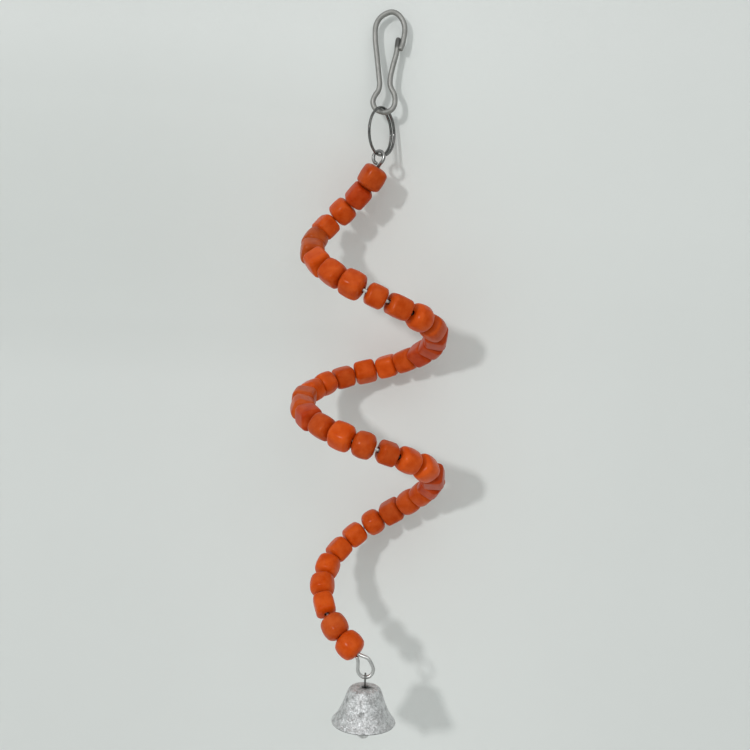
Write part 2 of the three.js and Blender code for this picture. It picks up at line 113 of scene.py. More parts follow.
def node(tree, kind, inputs=None, **settings):
    made = tree.nodes.new(kind)
    for name, value in settings.items():
        setattr(made, name, value)
    set_inputs(made, inputs or {})
    return made


def tree_of(values):
    return next(value.id_data for value in values if isinstance(value, bpy.types.NodeSocket))


def calc(operation, *values):
    return node(tree_of(values), "ShaderNodeMath", dict(enumerate(values)), operation=operation).outputs[0]


def vector_calc(operation, *values):
    sockets = (0, 3) if operation == "SCALE" else range(3)  # the scale has a socket of its own
    made = node(tree_of(values), "ShaderNodeVectorMath", dict(zip(sockets, values)), operation=operation)
    return made.outputs["Value" if operation in ("LENGTH", "DOT_PRODUCT") else "Vector"]


def joined(x, y, z):
    return node(tree_of((x, y, z)), "ShaderNodeCombineXYZ", {0: x, 1: y, 2: z}).outputs[0]


def parted(vector):
    return node(vector.id_data, "ShaderNodeSeparateXYZ", {0: vector}).outputs


def remap(value, low, high, to_low, to_high):
    numbers = dict(enumerate((value, low, high, to_low, to_high)))
    return node(value.id_data, "ShaderNodeMapRange", numbers, clamp=True).outputs["Result"]


def blend_colours(factor, first, second, kind="MIX"):
    colours = {0: factor, 6: first, 7: second}  # the sockets of a colour mix
    tree = tree_of(colours.values())
    return node(tree, "ShaderNodeMix", colours, data_type="RGBA", blend_type=kind).outputs[2]


def grain(place, scale, detail=2.0, rough=0.5):
    settings = {"Vector": place, "Scale": scale, "Detail": detail, "Roughness": rough}
    return node(place.id_data, "ShaderNodeTexNoise", settings).outputs[0]


def object_place(tree):
    return node(tree, "ShaderNodeTexCoord").outputs["Object"]


def stored(tree, name, kind="Fac"):
    """What a geometry tree has stored under this name."""
    return node(tree, "ShaderNodeAttribute", attribute_name=name).outputs[kind]


def new_finish(name):
    finish = bpy.data.materials.new(name)
    finish.use_nodes = True
    return finish, finish.node_tree, finish.node_tree.nodes["Principled BSDF"]


def linear(red, green, blue):
    """A screen colour as the renderer wants it."""
    shares = [v / 255 for v in (red, green, blue)]
    return tuple(v / 12.92 if v <= 0.04045 else ((v + 0.055) / 1.055) ** 2.4 for v in shares) + (1.0,)


print("helpers ready")

# %% [markdown]
# ## Wall, floor and light
# A pale painted wall stands close behind the toy, so the toy's shadow falls on it, to the right.
# Wall and floor are one bent sheet with a cove. At the top the sheet comes forward, because the hook
# hangs close to the wall, and lower down it turns a little, as the shadows show. The sheet is seen from
# its front only, and it clears where the toy swings behind it or where it is seen edge-on, so no view
# loses the toy. It casts no shadow, and the room beyond it is seen by the camera only. The light is a
# soft room, a wide window at the upper right, and one small lamp at the left that draws the shadow.
# %% Wall and floor
FLOOR_Z = -0.46
COVE = 0.10
ROOM_HALF = 2.2
ROOM_FRONT = -2.4
ROOM_TOP = 0.9
BOW_FROM, BOW_TO = -168 * MM, -5 * MM  # heights between which the wall comes forward
BOW_STEPS = 40
HOOK_WALL = 5.0 * MM  # the wall's place behind the hook
TURN_WALL = 46.1 * MM  # and behind the middle of the spiral, where it turns a little to the left
TURN_DEPTH, TURN_SPAN, TURN_MIDDLE = 21 * MM, 80 * MM, 10 * MM
COVE_STEPS = 12
NEAR_COLUMNS = [0.02 * step for step in range(-15, 16)]  # close together behind the toy


def wall_place(across, height):
    """How far back the wall stands at this place."""
    share = min(max((height - BOW_FROM) / (BOW_TO - BOW_FROM), 0.0), 1.0)
    turned_wall = TURN_WALL - TURN_DEPTH * tanh((across - TURN_MIDDLE) / TURN_SPAN)
    return turned_wall + (HOOK_WALL - turned_wall) * share * share * (3 - 2 * share)


columns = [-ROOM_HALF, -0.8, -0.4, *NEAR_COLUMNS, 0.4, 0.8, ROOM_HALF]
rows = [(0.0, ROOM_TOP)]  # each row: how far in front of the wall, and how high
rows += [(0.0, BOW_TO + (BOW_FROM - BOW_TO) * step / BOW_STEPS) for step in range(BOW_STEPS + 1)]
for step in range(COVE_STEPS):
    turn = radians(90) * step / COVE_STEPS
    rows.append((COVE - COVE * cos(turn), FLOOR_Z + COVE - COVE * sin(turn)))
corners = [(across, wall_place(across, height) - before, height)
           for before, height in rows for across in columns]
corners += [(across, wall_place(across, FLOOR_Z) - COVE, FLOOR_Z) for across in columns]
corners += [(across, ROOM_FRONT, FLOOR_Z) for across in columns]
wide = len(columns)
patches = [(k, k + wide, k + wide + 1, k + 1) for k in range(len(corners) - wide) if (k + 1) % wide]
sheet = bpy.data.meshes.new("wall_and_floor")
sheet.from_pydata(corners, [], patches)
sheet.shade_smooth()
room = put("wall_and_floor", sheet)
room.visible_shadow = False  # so the test behind the wall meets the toy and not the wall
for label, patch in (("wall", sheet.polygons[0]), ("floor", sheet.polygons[-1])):
    print(label, "faces", [round(v, 2) for v in patch.normal])

# %% Wall paint
WALL_GREYS = linear(210, 213, 211), linear(214, 217, 215)
BOW_PAINTED_PEAK = -0.085  # height where the painted light on the bow is palest
CLEAR_REACH = 0.3  # the wall clears where a piece lies this near behind it
CLEAR_SAMPLES = 32
ALL_FREE = 0.999  # less than this, and something is there
EDGE_ON = 0.93  # and where it is seen this nearly along its face (1 is edge-on)

wall_finish, tree, surface = new_finish("wall_paint")
place = object_place(tree)
evened = blend_colours(grain(place, 7.0, 3.0), *WALL_GREYS)
across, _, height = parted(place)
beside_toy = calc("ABSOLUTE", calc("SUBTRACT", across, TURN_MIDDLE))
# painted light: the wall's colour is a little paler to the right, away from the lamp, on the bow where the
# wall leans away from the light, and behind the toy where it shades the wall; at the top it falls back a
# little
for way, low, high, at_low, at_high in (
        (across, -0.15, 0.15, 0.98, 1.02), (beside_toy, 0.0, 0.12, 1.05, 1.0),
        (height, BOW_FROM, BOW_PAINTED_PEAK, 1.0, 1.05), (height, BOW_PAINTED_PEAK, 0.0, 1.0, 0.97)):
    evened = vector_calc("SCALE", evened, remap(way, low, high, at_low, at_high))
set_inputs(surface, {"Base Color": evened, "Roughness": 0.85, "Specular IOR Level": 0.2})
back = node(tree, "ShaderNodeNewGeometry").outputs["Backfacing"]
free_behind = node(tree, "ShaderNodeAmbientOcclusion", {"Distance": CLEAR_REACH}, inside=True,
                   samples=CLEAR_SAMPLES).outputs["AO"]
hides = calc("MAXIMUM", back, calc("LESS_THAN", free_behind, ALL_FREE))
grazed = calc("GREATER_THAN", node(tree, "ShaderNodeLayerWeight").outputs["Facing"], EDGE_ON)
above_cove = calc("GREATER_THAN", height, FLOOR_Z + COVE)
hides = calc("MAXIMUM", hides, calc("MULTIPLY", grazed, above_cove))
clear = node(tree, "ShaderNodeBsdfTransparent").outputs[0]
one_sided = node(tree, "ShaderNodeMixShader", {0: hides, 1: surface.outputs[0], 2: clear}).outputs[0]
feed(tree.nodes["Material Output"].inputs["Surface"], one_sided)
sheet.materials.append(wall_finish)
print("wall paint has", len(tree.nodes), "nodes")

# %% Light
BRIGHT_SIDE = Vector((-0.40, -0.25, 0.88)).normalized()
ROOM_LEVEL = 0.52
ROOM_SLOPE = 0.22
WALL_LEVEL = 0.63  # the room beyond the wall is as bright as the wall
WALL_EDGE = 0.3  # over this share of the way the one level passes into the other
AIM = Vector((0.0, 0.0, -0.16))
LAMP_PLACE, LAMP_SIZE, LAMP_WATTS = Vector((-0.575, -1.142, 0.130)), 0.10, 5.1
WINDOW_PLACE, WINDOW_SIZE, WINDOW_WATTS = Vector((0.30, -1.2, 0.60)), 1.0, 3.0

world = bpy.data.worlds.new("soft_room")
bpy.context.scene.world = world
world.use_nodes = True
tree = world.node_tree
toward = node(tree, "ShaderNodeTexCoord").outputs["Generated"]
facing = vector_calc("DOT_PRODUCT", toward, tuple(BRIGHT_SIDE))
room_level = calc("MULTIPLY_ADD", facing, ROOM_SLOPE, ROOM_LEVEL)
to_wall = remap(parted(toward)[1], 0.0, WALL_EDGE, 0.0, 1.0)
seen = node(tree, "ShaderNodeLightPath").outputs["Is Camera Ray"]
beyond = calc("MULTIPLY", seen, WALL_LEVEL)
level = node(tree, "ShaderNodeMix", {0: to_wall, 2: room_level, 3: beyond}).outputs[0]
set_inputs(tree.nodes["Background"], {"Strength": level, "Color": (0.98, 1.0, 0.995, 1.0)})

for name, shape, where, size, watts in (("small_lamp", "DISK", LAMP_PLACE, LAMP_SIZE, LAMP_WATTS),
                                        ("window", "SQUARE", WINDOW_PLACE, WINDOW_SIZE, WINDOW_WATTS)):
    lamp_data = bpy.data.lights.new(name, "AREA")
    lamp_data.shape = shape
    lamp_data.size = size
    lamp_data.energy = watts
    lamp = put(name, lamp_data)
    lamp.location = where
    lamp.rotation_euler = (AIM - where).to_track_quat("-Z", "Y").to_euler()
    lamp.visible_camera = False
    print(name, watts, "W")
bpy.context.scene.view_settings.view_transform = "Standard"

# %% [markdown]
# ## Turning a node tree into a plain mesh
# A geometry tree lives in a modifier. To give each CAD body its own mesh, the modifier is evaluated
# once, the result is kept as an ordinary mesh, and the modifier goes.
# %% Tree and mesh helpers
def new_tree(name, sockets):
    """A geometry tree with named inputs, {name: (socket kind, first value)}.

    Returns the tree, its inputs and their identifiers."""
    made = bpy.data.node_groups.new(name, "GeometryNodeTree")
    made.interface.new_socket("Geometry", in_out="OUTPUT", socket_type="NodeSocketGeometry")
    keys = {}
    for label, (kind, value) in sockets.items():
        socket = made.interface.new_socket(label, in_out="INPUT", socket_type="NodeSocket" + kind)
        if value is not None:
            socket.default_value = value
        keys[label] = socket.identifier
    return made, made.nodes.new("NodeGroupInput").outputs, keys


def store(geometry, label, value, kind="FLOAT"):
    inputs = {"Geometry": geometry, "Name": label, "Value": value}
    return node(geometry.id_data, "GeometryNodeStoreNamedAttribute", inputs, data_type=kind).outputs[0]


def close_tree(tree, geometry, finish):
    real = node(tree, "GeometryNodeRealizeInstances", {0: geometry}).outputs[0]
    painted = node(tree, "GeometryNodeSetMaterial", {"Geometry": real, "Material": finish}).outputs[0]
    tree.links.new(painted, tree.nodes.new("NodeGroupOutput").inputs[0])


def grow(name, start_mesh, tree, keys, values):
    """Runs a tree on a start mesh with these input values and returns an object with the plain result."""
    piece = put(name, start_mesh)
    modifier = piece.modifiers.new(tree.name, "NODES")
    modifier.node_group = tree
    for label, value in values.items():
        modifier[keys[label]] = value
    graph = bpy.context.evaluated_depsgraph_get()
    result = bpy.data.meshes.new_from_object(piece.evaluated_get(graph), preserve_all_data_layers=True,
                                             depsgraph=graph)
    piece.modifiers.clear()
    piece.data = result
    result.name = name
    bpy.data.meshes.remove(start_mesh)
    return piece


def volume(piece):
    """In cubic millimetres; it is below zero where the faces look inward."""
    made = bmesh.new()
    made.from_mesh(piece.data)
    size = made.calc_volume(signed=True)
    made.free()
    return round(size / MM ** 3, 2)


print("tree helpers ready")

# %% [markdown]
# ## Metal finishes
# The hook is nickel-plated spring wire that has gone dull, the split ring is polished, its colour painted
# dark as a painted reflection of a dark room, the spiral wire is plain drawn steel and the bell's wire is
# thin and dark. Drawn wire has fine streaks along its length, so the streaks are a noise stretched along
# the wire. The wire tree further down stores where each point lies along and round its wire, and the finish
# reads that. It also stores where the wire is drawn darker: at the tip of the gate arm, as painted shade and
# dark reflection under the catch, and along the upper eye.
# %% Drawn wire finishes
STREAK_STRETCH = 90.0  # streaks along a wire, against its round of 1
# drawn darker: at the gate arm's tip this is painted shade and dark reflection under the catch; along the
# upper eye the wire is simply darker
DARKENED_WIRE = (0.13, 0.13, 0.125, 1)


def wire_finish(name, colour, dark, smooth, rough, streak):
    finish, tree, surface = new_finish(name)
    turn = calc("MULTIPLY", stored(tree, "around"), 2 * pi)
    stretched = calc("MULTIPLY", stored(tree, "along"), STREAK_STRETCH)
    line_place = joined(calc("COSINE", turn), calc("SINE", turn), stretched)
    lines = grain(line_place, 5.0, 4.0, 0.6)
    spots = grain(object_place(tree), 420.0, 3.0)
    tarnish = remap(spots, 0.50, 0.72, 0.0, 1.0)
    base = blend_colours(remap(lines, 0.35, 0.65, 0.0, streak), colour, dark)
    base = blend_colours(calc("MULTIPLY", tarnish, 0.35), base, dark)
    # painted shade at the gate arm's tip, a darker stretch along the upper eye
    base = blend_colours(stored(tree, "darkened"), base, DARKENED_WIRE)
    polish = calc("ADD", lines, calc("MULTIPLY", tarnish, 0.5))
    bump = node(tree, "ShaderNodeBump", {"Height": lines, "Strength": 0.25, "Distance": 0.02 * MM})
    set_inputs(surface, {
        "Base Color": base,
        "Metallic": 1.0,
        "Roughness": remap(polish, 0.3, 0.9, smooth, rough),
        "Normal": bump.outputs[0],
    })
    return finish


hook_finish = wire_finish("dulled_nickel", (0.36, 0.36, 0.345, 1), (0.25, 0.25, 0.235, 1), 0.50, 0.64, 0.6)
# the ring's colour is painted dark, a painted reflection of a dark room
ring_finish_painted_dark = wire_finish("polished_nickel_painted_dark", (0.19, 0.19, 0.185, 1), (0.08, 0.08, 0.077, 1), 0.05, 0.15, 0.35)
spiral_finish = wire_finish("drawn_steel", (0.62, 0.62, 0.61, 1), (0.38, 0.38, 0.37, 1), 0.24, 0.40, 0.5)
bell_wire_finish = wire_finish("dark_wire", (0.24, 0.24, 0.23, 1), (0.10, 0.10, 0.095, 1), 0.28, 0.42, 0.6)
print("wire finishes", 4)

# %% [markdown]
# ## A wire along a path
# Hook, ring, spiral, bell wire and clapper stem are all round wire bent to a path. A curve with a
# bevel would do it, but a geometry tree also stores the place along and round the wire for the
# finishes, and it gives every wire a blunt, slightly rounded cut end.
# %% Wire tree
wire_tree, given, wire_keys = new_tree("Wire along a path", {
    "Path": ("Geometry", None),
    "Diameter": ("Float", 1.5 * MM),
    "Sides": ("Int", 20),
    "Finish": ("Material", None),
})
path = node(wire_tree, "GeometryNodeMeshToCurve", {0: given["Path"]}).outputs[0]
length_on = node(wire_tree, "GeometryNodeSplineParameter").outputs["Length"]
path = store(path, "along", length_on)
radius = calc("MULTIPLY", given["Diameter"], 0.5)
section = node(wire_tree, "GeometryNodeCurvePrimitiveCircle",
               {"Resolution": given["Sides"], "Radius": radius}).outputs[0]
share_on = node(wire_tree, "GeometryNodeSplineParameter").outputs["Factor"]
section = store(section, "around", share_on)
blunt = node(wire_tree, "GeometryNodeInputNamedAttribute", {"Name": "blunt"}).outputs[0]
tube = node(wire_tree, "GeometryNodeCurveToMesh",
            {"Curve": path, "Profile Curve": section, "Scale": blunt, "Fill Caps": True}).outputs[0]
tube = node(wire_tree, "GeometryNodeSetShadeSmooth", {"Geometry": tube}).outputs[0]
close_tree(wire_tree, tube, given["Finish"])
print("wire tree has", len(wire_tree.nodes), "nodes")

# %% Path helpers
def vec(x, y, z):
    return Vector((x, y, z))


def ease(share):
    """From 0 to 1 with a gentle start and end."""
    return (1 - cos(pi * min(max(share, 0.0), 1.0))) / 2


def arc(radius, first, last, step):
    """Points (across, up) on a circle, by degrees."""
    turns = [radians(degrees) for degrees in range(first, last, step)]
    return [(radius * cos(turn), radius * sin(turn)) for turn in turns]


def between(start, end, leave, arrive, t):
    """A place on the smooth way from start to end that leaves and arrives with these slopes."""
    return (start + leave * t + (3 * (end - start) - 2 * leave - arrive) * t ** 2
            + (2 * (start - end) + leave + arrive) * t ** 3)


def smooth_path(corners, parts):
    """Points on a smooth curve that passes through the corners, with closer corners bent tighter."""
    ends = [2 * corners[0] - corners[1], *corners, 2 * corners[-1] - corners[-2]]
    made = []
    for i in range(len(corners) - 1):
        a, b, c, d = ends[i:i + 4]
        before, span, after = ((q - p).length ** 0.5 for p, q in ((a, b), (b, c), (c, d)))
        leave = ((b - a) / before - (c - a) / (before + span) + (c - b) / span) * span
        arrive = ((c - b) / span - (d - b) / (span + after) + (d - c) / after) * span
        made += [between(b, c, leave, arrive, k / parts) for k in range(parts)]
    return made + [corners[-1].copy()]


def even_path(points, step):
    """The same path with points at equal steps along it."""
    lengths = [0.0]
    for p, q in zip(points, points[1:]):
        lengths.append(lengths[-1] + (q - p).length)
    count = max(2, round(lengths[-1] / step))
    made, i = [], 0
    for k in range(count + 1):
        want = lengths[-1] * k / count
        while i < len(points) - 2 and lengths[i + 1] < want:
            i += 1
        made.append(points[i].lerp(points[i + 1], (want - lengths[i]) / (lengths[i + 1] - lengths[i])))
    return made


print("path helpers ready")

# %% Wire helper
BLUNT_SHARE = 0.42  # how much of the wire's radius an end is rounded by
BLUNT_RINGS = (0.0, 0.12, 0.32, 0.6)  # where the rings of the rounding stand, as shares of its depth
DARKEN_FADE = 3  # a darkened stretch fades over a third of a millimetre


def blunt_start(points, sizes, reach):
    """The same points and sizes with the first end rounded."""
    tip, way = points[0], (points[1] - points[0]).normalized()
    kept = [k for k, p in enumerate(points) if (p - tip).dot(way) > reach or (p - tip).length > 4 * reach]
    rounding = [1 - BLUNT_SHARE * (1 - sqrt(1 - (1 - s) ** 2)) for s in BLUNT_RINGS]
    return ([tip + way * reach * s for s in BLUNT_RINGS] + [points[k] for k in kept],
            rounding + [sizes[k] for k in kept])


def bend_wire(name, points, diameter, finish, sides=20, round_start=True, round_end=True,
              darken_start=(0, 0), darken_end=(0, 0)):
    """A wire along points in millimetres, with darker stretches at its ends given as (length, share)."""
    reach = BLUNT_SHARE * diameter / 2
    sizes = [1.0] * len(points)
    if round_start:
        points, sizes = blunt_start(points, sizes, reach)
    if round_end:
        points, sizes = (run[::-1] for run in blunt_start(points[::-1], sizes[::-1], reach))
    darkened = []
    for p in points:
        stretches = ((darken_start, (p - points[0]).length), (darken_end, (p - points[-1]).length))
        darkened.append(max(share * ease(1 + DARKEN_FADE * (length - away)) for (length, share), away in stretches))
    start = bpy.data.meshes.new(name + "_path")
    start.from_pydata([p * MM for p in points], [(i, i + 1) for i in range(len(points) - 1)], [])
    for label, values in (("blunt", sizes), ("darkened", darkened)):
        start.attributes.new(label, "FLOAT", "POINT").data.foreach_set("value", values)
    values = {"Diameter": diameter * MM, "Sides": sides, "Finish": finish}
    return grow(name, start, wire_tree, wire_keys, values)


print("wire helper ready")

# %% [markdown]
# ## Snap hook
# One spring wire bent to a pear shape: it starts at the catch, goes over the top, down the left side,
# round the bulb and up again as the gate arm, whose tip sits behind the catch wire. The two CAD bodies
# share one path here, so the wire is unbroken, and the gate's piece starts just above the bulb, at the
# gate's joint; it is not hung on a CAD body, so it stays where it is made.
# %% Hook path
HOOK_WIRE = 1.9
HOOK_SHOWN = 2.3  # with its plating; the CAD keeps the bare wire
HOOK_SCALE = 42.6 / 44.5
HOOK_PARTS = 16  # points from corner to corner
HOOK_STEP, HOOK_SIDES = 0.4, 24
GATE_TIP_SHADE = (4.6, 0.9)  # length of the gate tip's painted shade and dark reflection, and how dark it is
CLEARANCE = 0.3
beside = HOOK_WIRE + 1.5 * CLEARANCE


def hook_point(x, z):
    return vec(x * HOOK_SCALE, 0, z * HOOK_SCALE)


catch_top = hook_point(5.95, -12.4)
gate_top = vec(catch_top.x - beside, 0, catch_top.z)
hook_corners = [
    vec(catch_top.x - 1.15, -0.75, catch_top.z - 3.7),
    vec(catch_top.x - 0.75, -0.45, catch_top.z - 2.6),
    vec(catch_top.x - 0.35, -0.15, catch_top.z - 1.3),
    catch_top,
]
for x, z in ((6.35, -9.6), (6.55, -7.2), (6.2, -4.6), (4.9, -1.8), (2.8, 0.3)):
    hook_corners.append(hook_point(x, z))
hook_corners.append(vec(0.4 * HOOK_SCALE, 0, HOOK_WIRE / 2))
for x, z in ((-2.2, 0.2), (-4.9, -1.9), (-6.55, -5.2), (-6.7, -10.8), (-5.5, -19.6), (-4.25, -28.6),
             (-3.85, -32.0), (-4.3, -34.7), (-5.75, -37.2), (-6.55, -40.0), (-5.3, -43.0), (-1.5, -44.5),
             (2.0, -43.2), (3.3, -40.8), (3.4, -39.4)):
    hook_corners.append(hook_point(x, z))
gate_low = ((2.85, -35.9), (1.75, -34.0), (0.95, -32.0), (0.85, -29.2), (1.7, -24.0))
gate_corners = [
    *(hook_point(x, z) for x, z in gate_low),
    vec(gate_top.x - 0.25, 0, gate_top.z - 4.5),
    vec(gate_top.x - 0.05, 0.15, gate_top.z - 1.9),
    vec(gate_top.x + 0.1, 0.7, gate_top.z),
    vec(gate_top.x + 0.35, 1.4, gate_top.z + 1.9),
]
gate_pivot = Vector(next(j for j in frame["joints"] if j["name"] == "gate_flex")["pos_m"]) / MM
hook_corners.append(gate_pivot)
hook_run = smooth_path(hook_corners + gate_corners, HOOK_PARTS)
split = (len(hook_corners) - 1) * HOOK_PARTS
print("gate turns at", [round(v, 2) for v in hook_run[split]])

# %% Hook wire and gate arm
fixed_run, gate_run = even_path(hook_run[:split + 1], HOOK_STEP), even_path(hook_run[split:], HOOK_STEP)
hook = bend_wire("hook_wire_bent", fixed_run, HOOK_SHOWN, hook_finish, HOOK_SIDES, round_end=False)
gate = bend_wire("gate_arm_bent", gate_run, HOOK_SHOWN, hook_finish, HOOK_SIDES, round_start=False,
                 darken_end=GATE_TIP_SHADE)
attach(hook, "hook")
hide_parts("hook_wire")
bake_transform(gate)
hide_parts("gate_arm")
for piece in (hook, gate):
    print(piece.name, "triangles", 2 * len(piece.data.polygons), "volume mm3", volume(piece))

# %% [markdown]
# ## Split ring
# A split ring is one springy wire wound about one and a half turns, so it lies double over part of its
# length. It hangs edge-on to the viewer, through the hook's bulb and the upper eye.
# %% Split ring
RING_WIRE = 1.2
RING_OUTER = 21.4
RING_OVERLAP = 140  # degrees that lie double
RING_STEP = 2.5
RING_YAW = radians(60)

bulb_bottom = hook_point(-1.5, -44.5)
ring_radius = (RING_OUTER - RING_WIRE) / 2
ring_along = vec(cos(RING_YAW), sin(RING_YAW), 0)
ring_across = vec(sin(RING_YAW), -cos(RING_YAW), 0)


def ring_offset(degrees):
    return (RING_WIRE + 1.5 * CLEARANCE) * (ease((degrees - RING_OVERLAP) / (360 - RING_OVERLAP)) - 0.5)


ring_centre = bulb_bottom - ring_across * ring_offset(270 + RING_OVERLAP / 2)
ring_centre.z += HOOK_WIRE / 2 + CLEARANCE + RING_WIRE / 2 - ring_radius


def ring_point(degrees):
    angle = radians(RING_OVERLAP / 2 - degrees)
    point = ring_centre + ring_along * ring_radius * cos(angle) + ring_across * ring_offset(degrees)
    point.z += ring_radius * sin(angle)
    return point


ring_steps = int((360 + RING_OVERLAP) / RING_STEP)
ring_run = [ring_point(RING_STEP * i) for i in range(ring_steps + 1)]
ring = bend_wire("split_ring_wound", ring_run, RING_WIRE, ring_finish_painted_dark)
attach(ring, "ring")
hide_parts("split_ring")
ring_bottom = ring_point(90 + RING_OVERLAP / 2)
print("ring bottom", [round(v, 3) for v in ring_bottom], "volume mm3", volume(ring))

# %% [markdown]
# ## The spiral's path
# The spiral is a stiff wire wound by hand round a former: wide in the middle turns, closing toward
# both ends, with a steeper drop at the ends and small bends that hand winding leaves. The same rule
# gives the wire, the places of the beads and their axes.
# %% Spiral path
COIL_RADIUS = 29.4
COIL_MID_PITCH = 58
COIL_END_PITCH = 104
COIL_START = 75
COIL_SWEEP = 890
COIL_TOP_RADIUS, COIL_TOP_SPAN = 9.9, 181
COIL_TOP_FORWARD, COIL_TOP_FORWARD_SPAN = 11.4, 117
COIL_BOTTOM_RADIUS, COIL_BOTTOM_SPAN = 20.4, 431
COIL_LEAN = radians(2.9)
COIL_SIDE_BENDS = [-0.2, -0.7, -0.2, -0.7, 0.4, -0.4, -0.1, 0.1, 0.2, 2.1, 0.5, -0.2, -0.5, -0.2]
COIL_RISE_BENDS = [-2.6, 1.1, 0.6, -1.0, -0.6, -0.6, 2.3, 2.4, 1.5, 0.8, -1.2, -1.1, -0.8, -0.7]


def bend_at(values, share):
    """Smooth value between equally spaced ones."""
    place = min(max(share, 0.0), 1.0) * (len(values) - 1)
    i = min(int(place), len(values) - 2)
    ends = [2 * values[0] - values[1], *values, 2 * values[-1] - values[-2]]
    a, b, c, d = ends[i:i + 4]
    return between(b, c, (c - a) / 2, (d - b) / 2, place - i)


def coil_point(degrees):
    share = (degrees - COIL_START) / COIL_SWEEP
    tau = 2 * share - 1
    extra = (COIL_END_PITCH - COIL_MID_PITCH) * (tau / 2 - sin(pi * tau) / (2 * pi))
    drop = COIL_SWEEP / 720 * (COIL_MID_PITCH * tau + extra)
    top = 1 - ease((degrees - COIL_START) / COIL_TOP_SPAN)
    bottom = 1 - ease((COIL_START + COIL_SWEEP - degrees) / COIL_BOTTOM_SPAN)
    wide = COIL_RADIUS - (COIL_RADIUS - COIL_TOP_RADIUS) * top - (COIL_RADIUS - COIL_BOTTOM_RADIUS) * bottom
    turn = radians(degrees)
    point = vec(wide * cos(turn), wide * sin(turn), -drop)
    point.y -= COIL_TOP_FORWARD * (1 - ease((degrees - COIL_START) / COIL_TOP_FORWARD_SPAN))
    point.x += bend_at(COIL_SIDE_BENDS, share)
    point.z += bend_at(COIL_RISE_BENDS, share)
    return Matrix.Rotation(-COIL_LEAN, 3, "Y") @ point


COIL_MARGIN = 60  # degrees of path past the first and last bead
coil_raw = [coil_point(d) for d in range(COIL_START - COIL_MARGIN, COIL_START + COIL_SWEEP + COIL_MARGIN + 1)]
coil_length = [0.0]
for p, q in zip(coil_raw, coil_raw[1:]):
    coil_length.append(coil_length[-1] + (q - p).length)
print("coil length", round(coil_length[-1], 1), "mm")

# %% Bead places along the wire
BEAD_COUNT = 44
BEAD_FILL_SHARE = 0.87
LOOSE_SHARE = 0.12  # more room after these beads
LOOSE_AFTER = (9, 10, 11, 28, 42)

first_length = coil_length[COIL_MARGIN]
last_length = coil_length[COIL_MARGIN + COIL_SWEEP]
spacing = (last_length - first_length) / (BEAD_COUNT - 1 + LOOSE_SHARE * len(LOOSE_AFTER))
cad_bead_length = BEAD_FILL_SHARE * spacing
bead_lengths = [first_length]
for i in range(1, BEAD_COUNT):
    bead_lengths.append(bead_lengths[-1] + spacing * (1 + (LOOSE_SHARE if i in LOOSE_AFTER else 0)))

# The upper eye hangs round the ring's bottom, and bead 1 stands just under it.
WIRE = 1.5
UPPER_WIDE, UPPER_TALL = 6.8, 7.0
upper_across, upper_tall = (UPPER_WIDE - WIRE) / 2, (UPPER_TALL - WIRE) / 2
upper_centre = ring_bottom.copy()
upper_centre.z += RING_WIRE / 2 + CLEARANCE + WIRE / 2 - upper_tall
first_bead = upper_centre + vec(-2.3, 1.9, -(upper_tall + WIRE / 2 + 2 * CLEARANCE + cad_bead_length / 2))
coil_place = first_bead - coil_point(COIL_START)


def coil_at(length):
    i = next(k for k, value in enumerate(coil_length) if value >= length)
    share = (length - coil_length[i - 1]) / (coil_length[i] - coil_length[i - 1])
    return coil_raw[i - 1].lerp(coil_raw[i], share) + coil_place


print("bead spacing", round(spacing, 3), "first bead", [round(v, 3) for v in first_bead])

# %% [markdown]
# ## Spiral wire
# The wire shows only at its two eyes and in the few gaps between beads, but it is made whole: the upper
# eye round the ring, the spiral, and the drop-shaped lower eye that holds the bell.
# %% Spiral wire
upper_eye = [upper_centre + ring_across * upper_across * across + vec(0, 0, upper_tall * up)
             for across, up in arc(1, 256, -45, -20)]
COIL_STEPS = 110
wire_from = first_length - 0.52 * spacing
wire_to = bead_lengths[-1] + 0.5 * spacing
coil_run = [coil_at(wire_from + (wire_to - wire_from) * i / COIL_STEPS) for i in range(COIL_STEPS + 1)]

LOWER_WIDE, LOWER_TALL, LOWER_DRAWN = 8.0, 10.1, 1.25  # the upper half of the eye is drawn out to a drop
lower_across = (LOWER_WIDE - WIRE) / 2
lower_peak = LOWER_TALL - WIRE - lower_across
lower_centre = coil_run[-1] + vec(3.1, -0.9, -lower_peak - 0.6)


def lower_eye_point(degrees, stretch):
    side = lower_across * sin(radians(degrees)) * stretch
    up = lower_across * cos(radians(degrees))
    return lower_centre + vec(side, 0, up * LOWER_DRAWN if up > 0 else up)


lower_eye = [lower_centre + vec(0.25 * lower_across, 0, 0.86 * lower_peak), lower_eye_point(62, 0.92)]
lower_eye += [lower_eye_point(degrees, 1) for degrees in range(90, 271, 20)]
lower_eye += [lower_centre + vec(-3.2, -0.1, 1.5), lower_centre + vec(-3.3, -0.4, 3.4),
              lower_centre + vec(-3.75, -0.8, 5.5)]
SPIRAL_PARTS, SPIRAL_STEP, SPIRAL_SIDES = 8, 0.45, 18
# length and share of the darker stretch along the upper eye
EYE_DARKENED = (8.0, 0.65)
spiral_run = even_path(smooth_path(upper_eye + coil_run + lower_eye, SPIRAL_PARTS), SPIRAL_STEP)
spiral = bend_wire("spiral_wire_wound", spiral_run, WIRE, spiral_finish, SPIRAL_SIDES, darken_start=EYE_DARKENED)
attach(spiral, "spiral")
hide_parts("spiral_wire")
print("spiral triangles", 2 * len(spiral.data.polygons), "volume mm3", volume(spiral))

# %% [markdown]
# ## Bead paint
# The cubes are wood, tumbled in orange paint. The paint is satin, a little uneven in colour from bead
# to bead and within a bead, with the grain just showing. The bead tree stores three things for this
# finish: the bead's own tint, the place within the bead, and how near a point is to the bore, where
# the paint is thin and dark and painted shade darkens the hole.
# %% Bead paint finish
DEEP_PAINT = (0.84, 0.72, 0.60, 1)  # where the paint lies thick, as shares of the tint
PALE_PAINT = (0.80, 0.30, 0.12, 1)
# thin paint in the bore, with painted shade darkening the hole
BORE_THIN_PAINT_AND_SHADE = (0.045, 0.012, 0.006, 1)

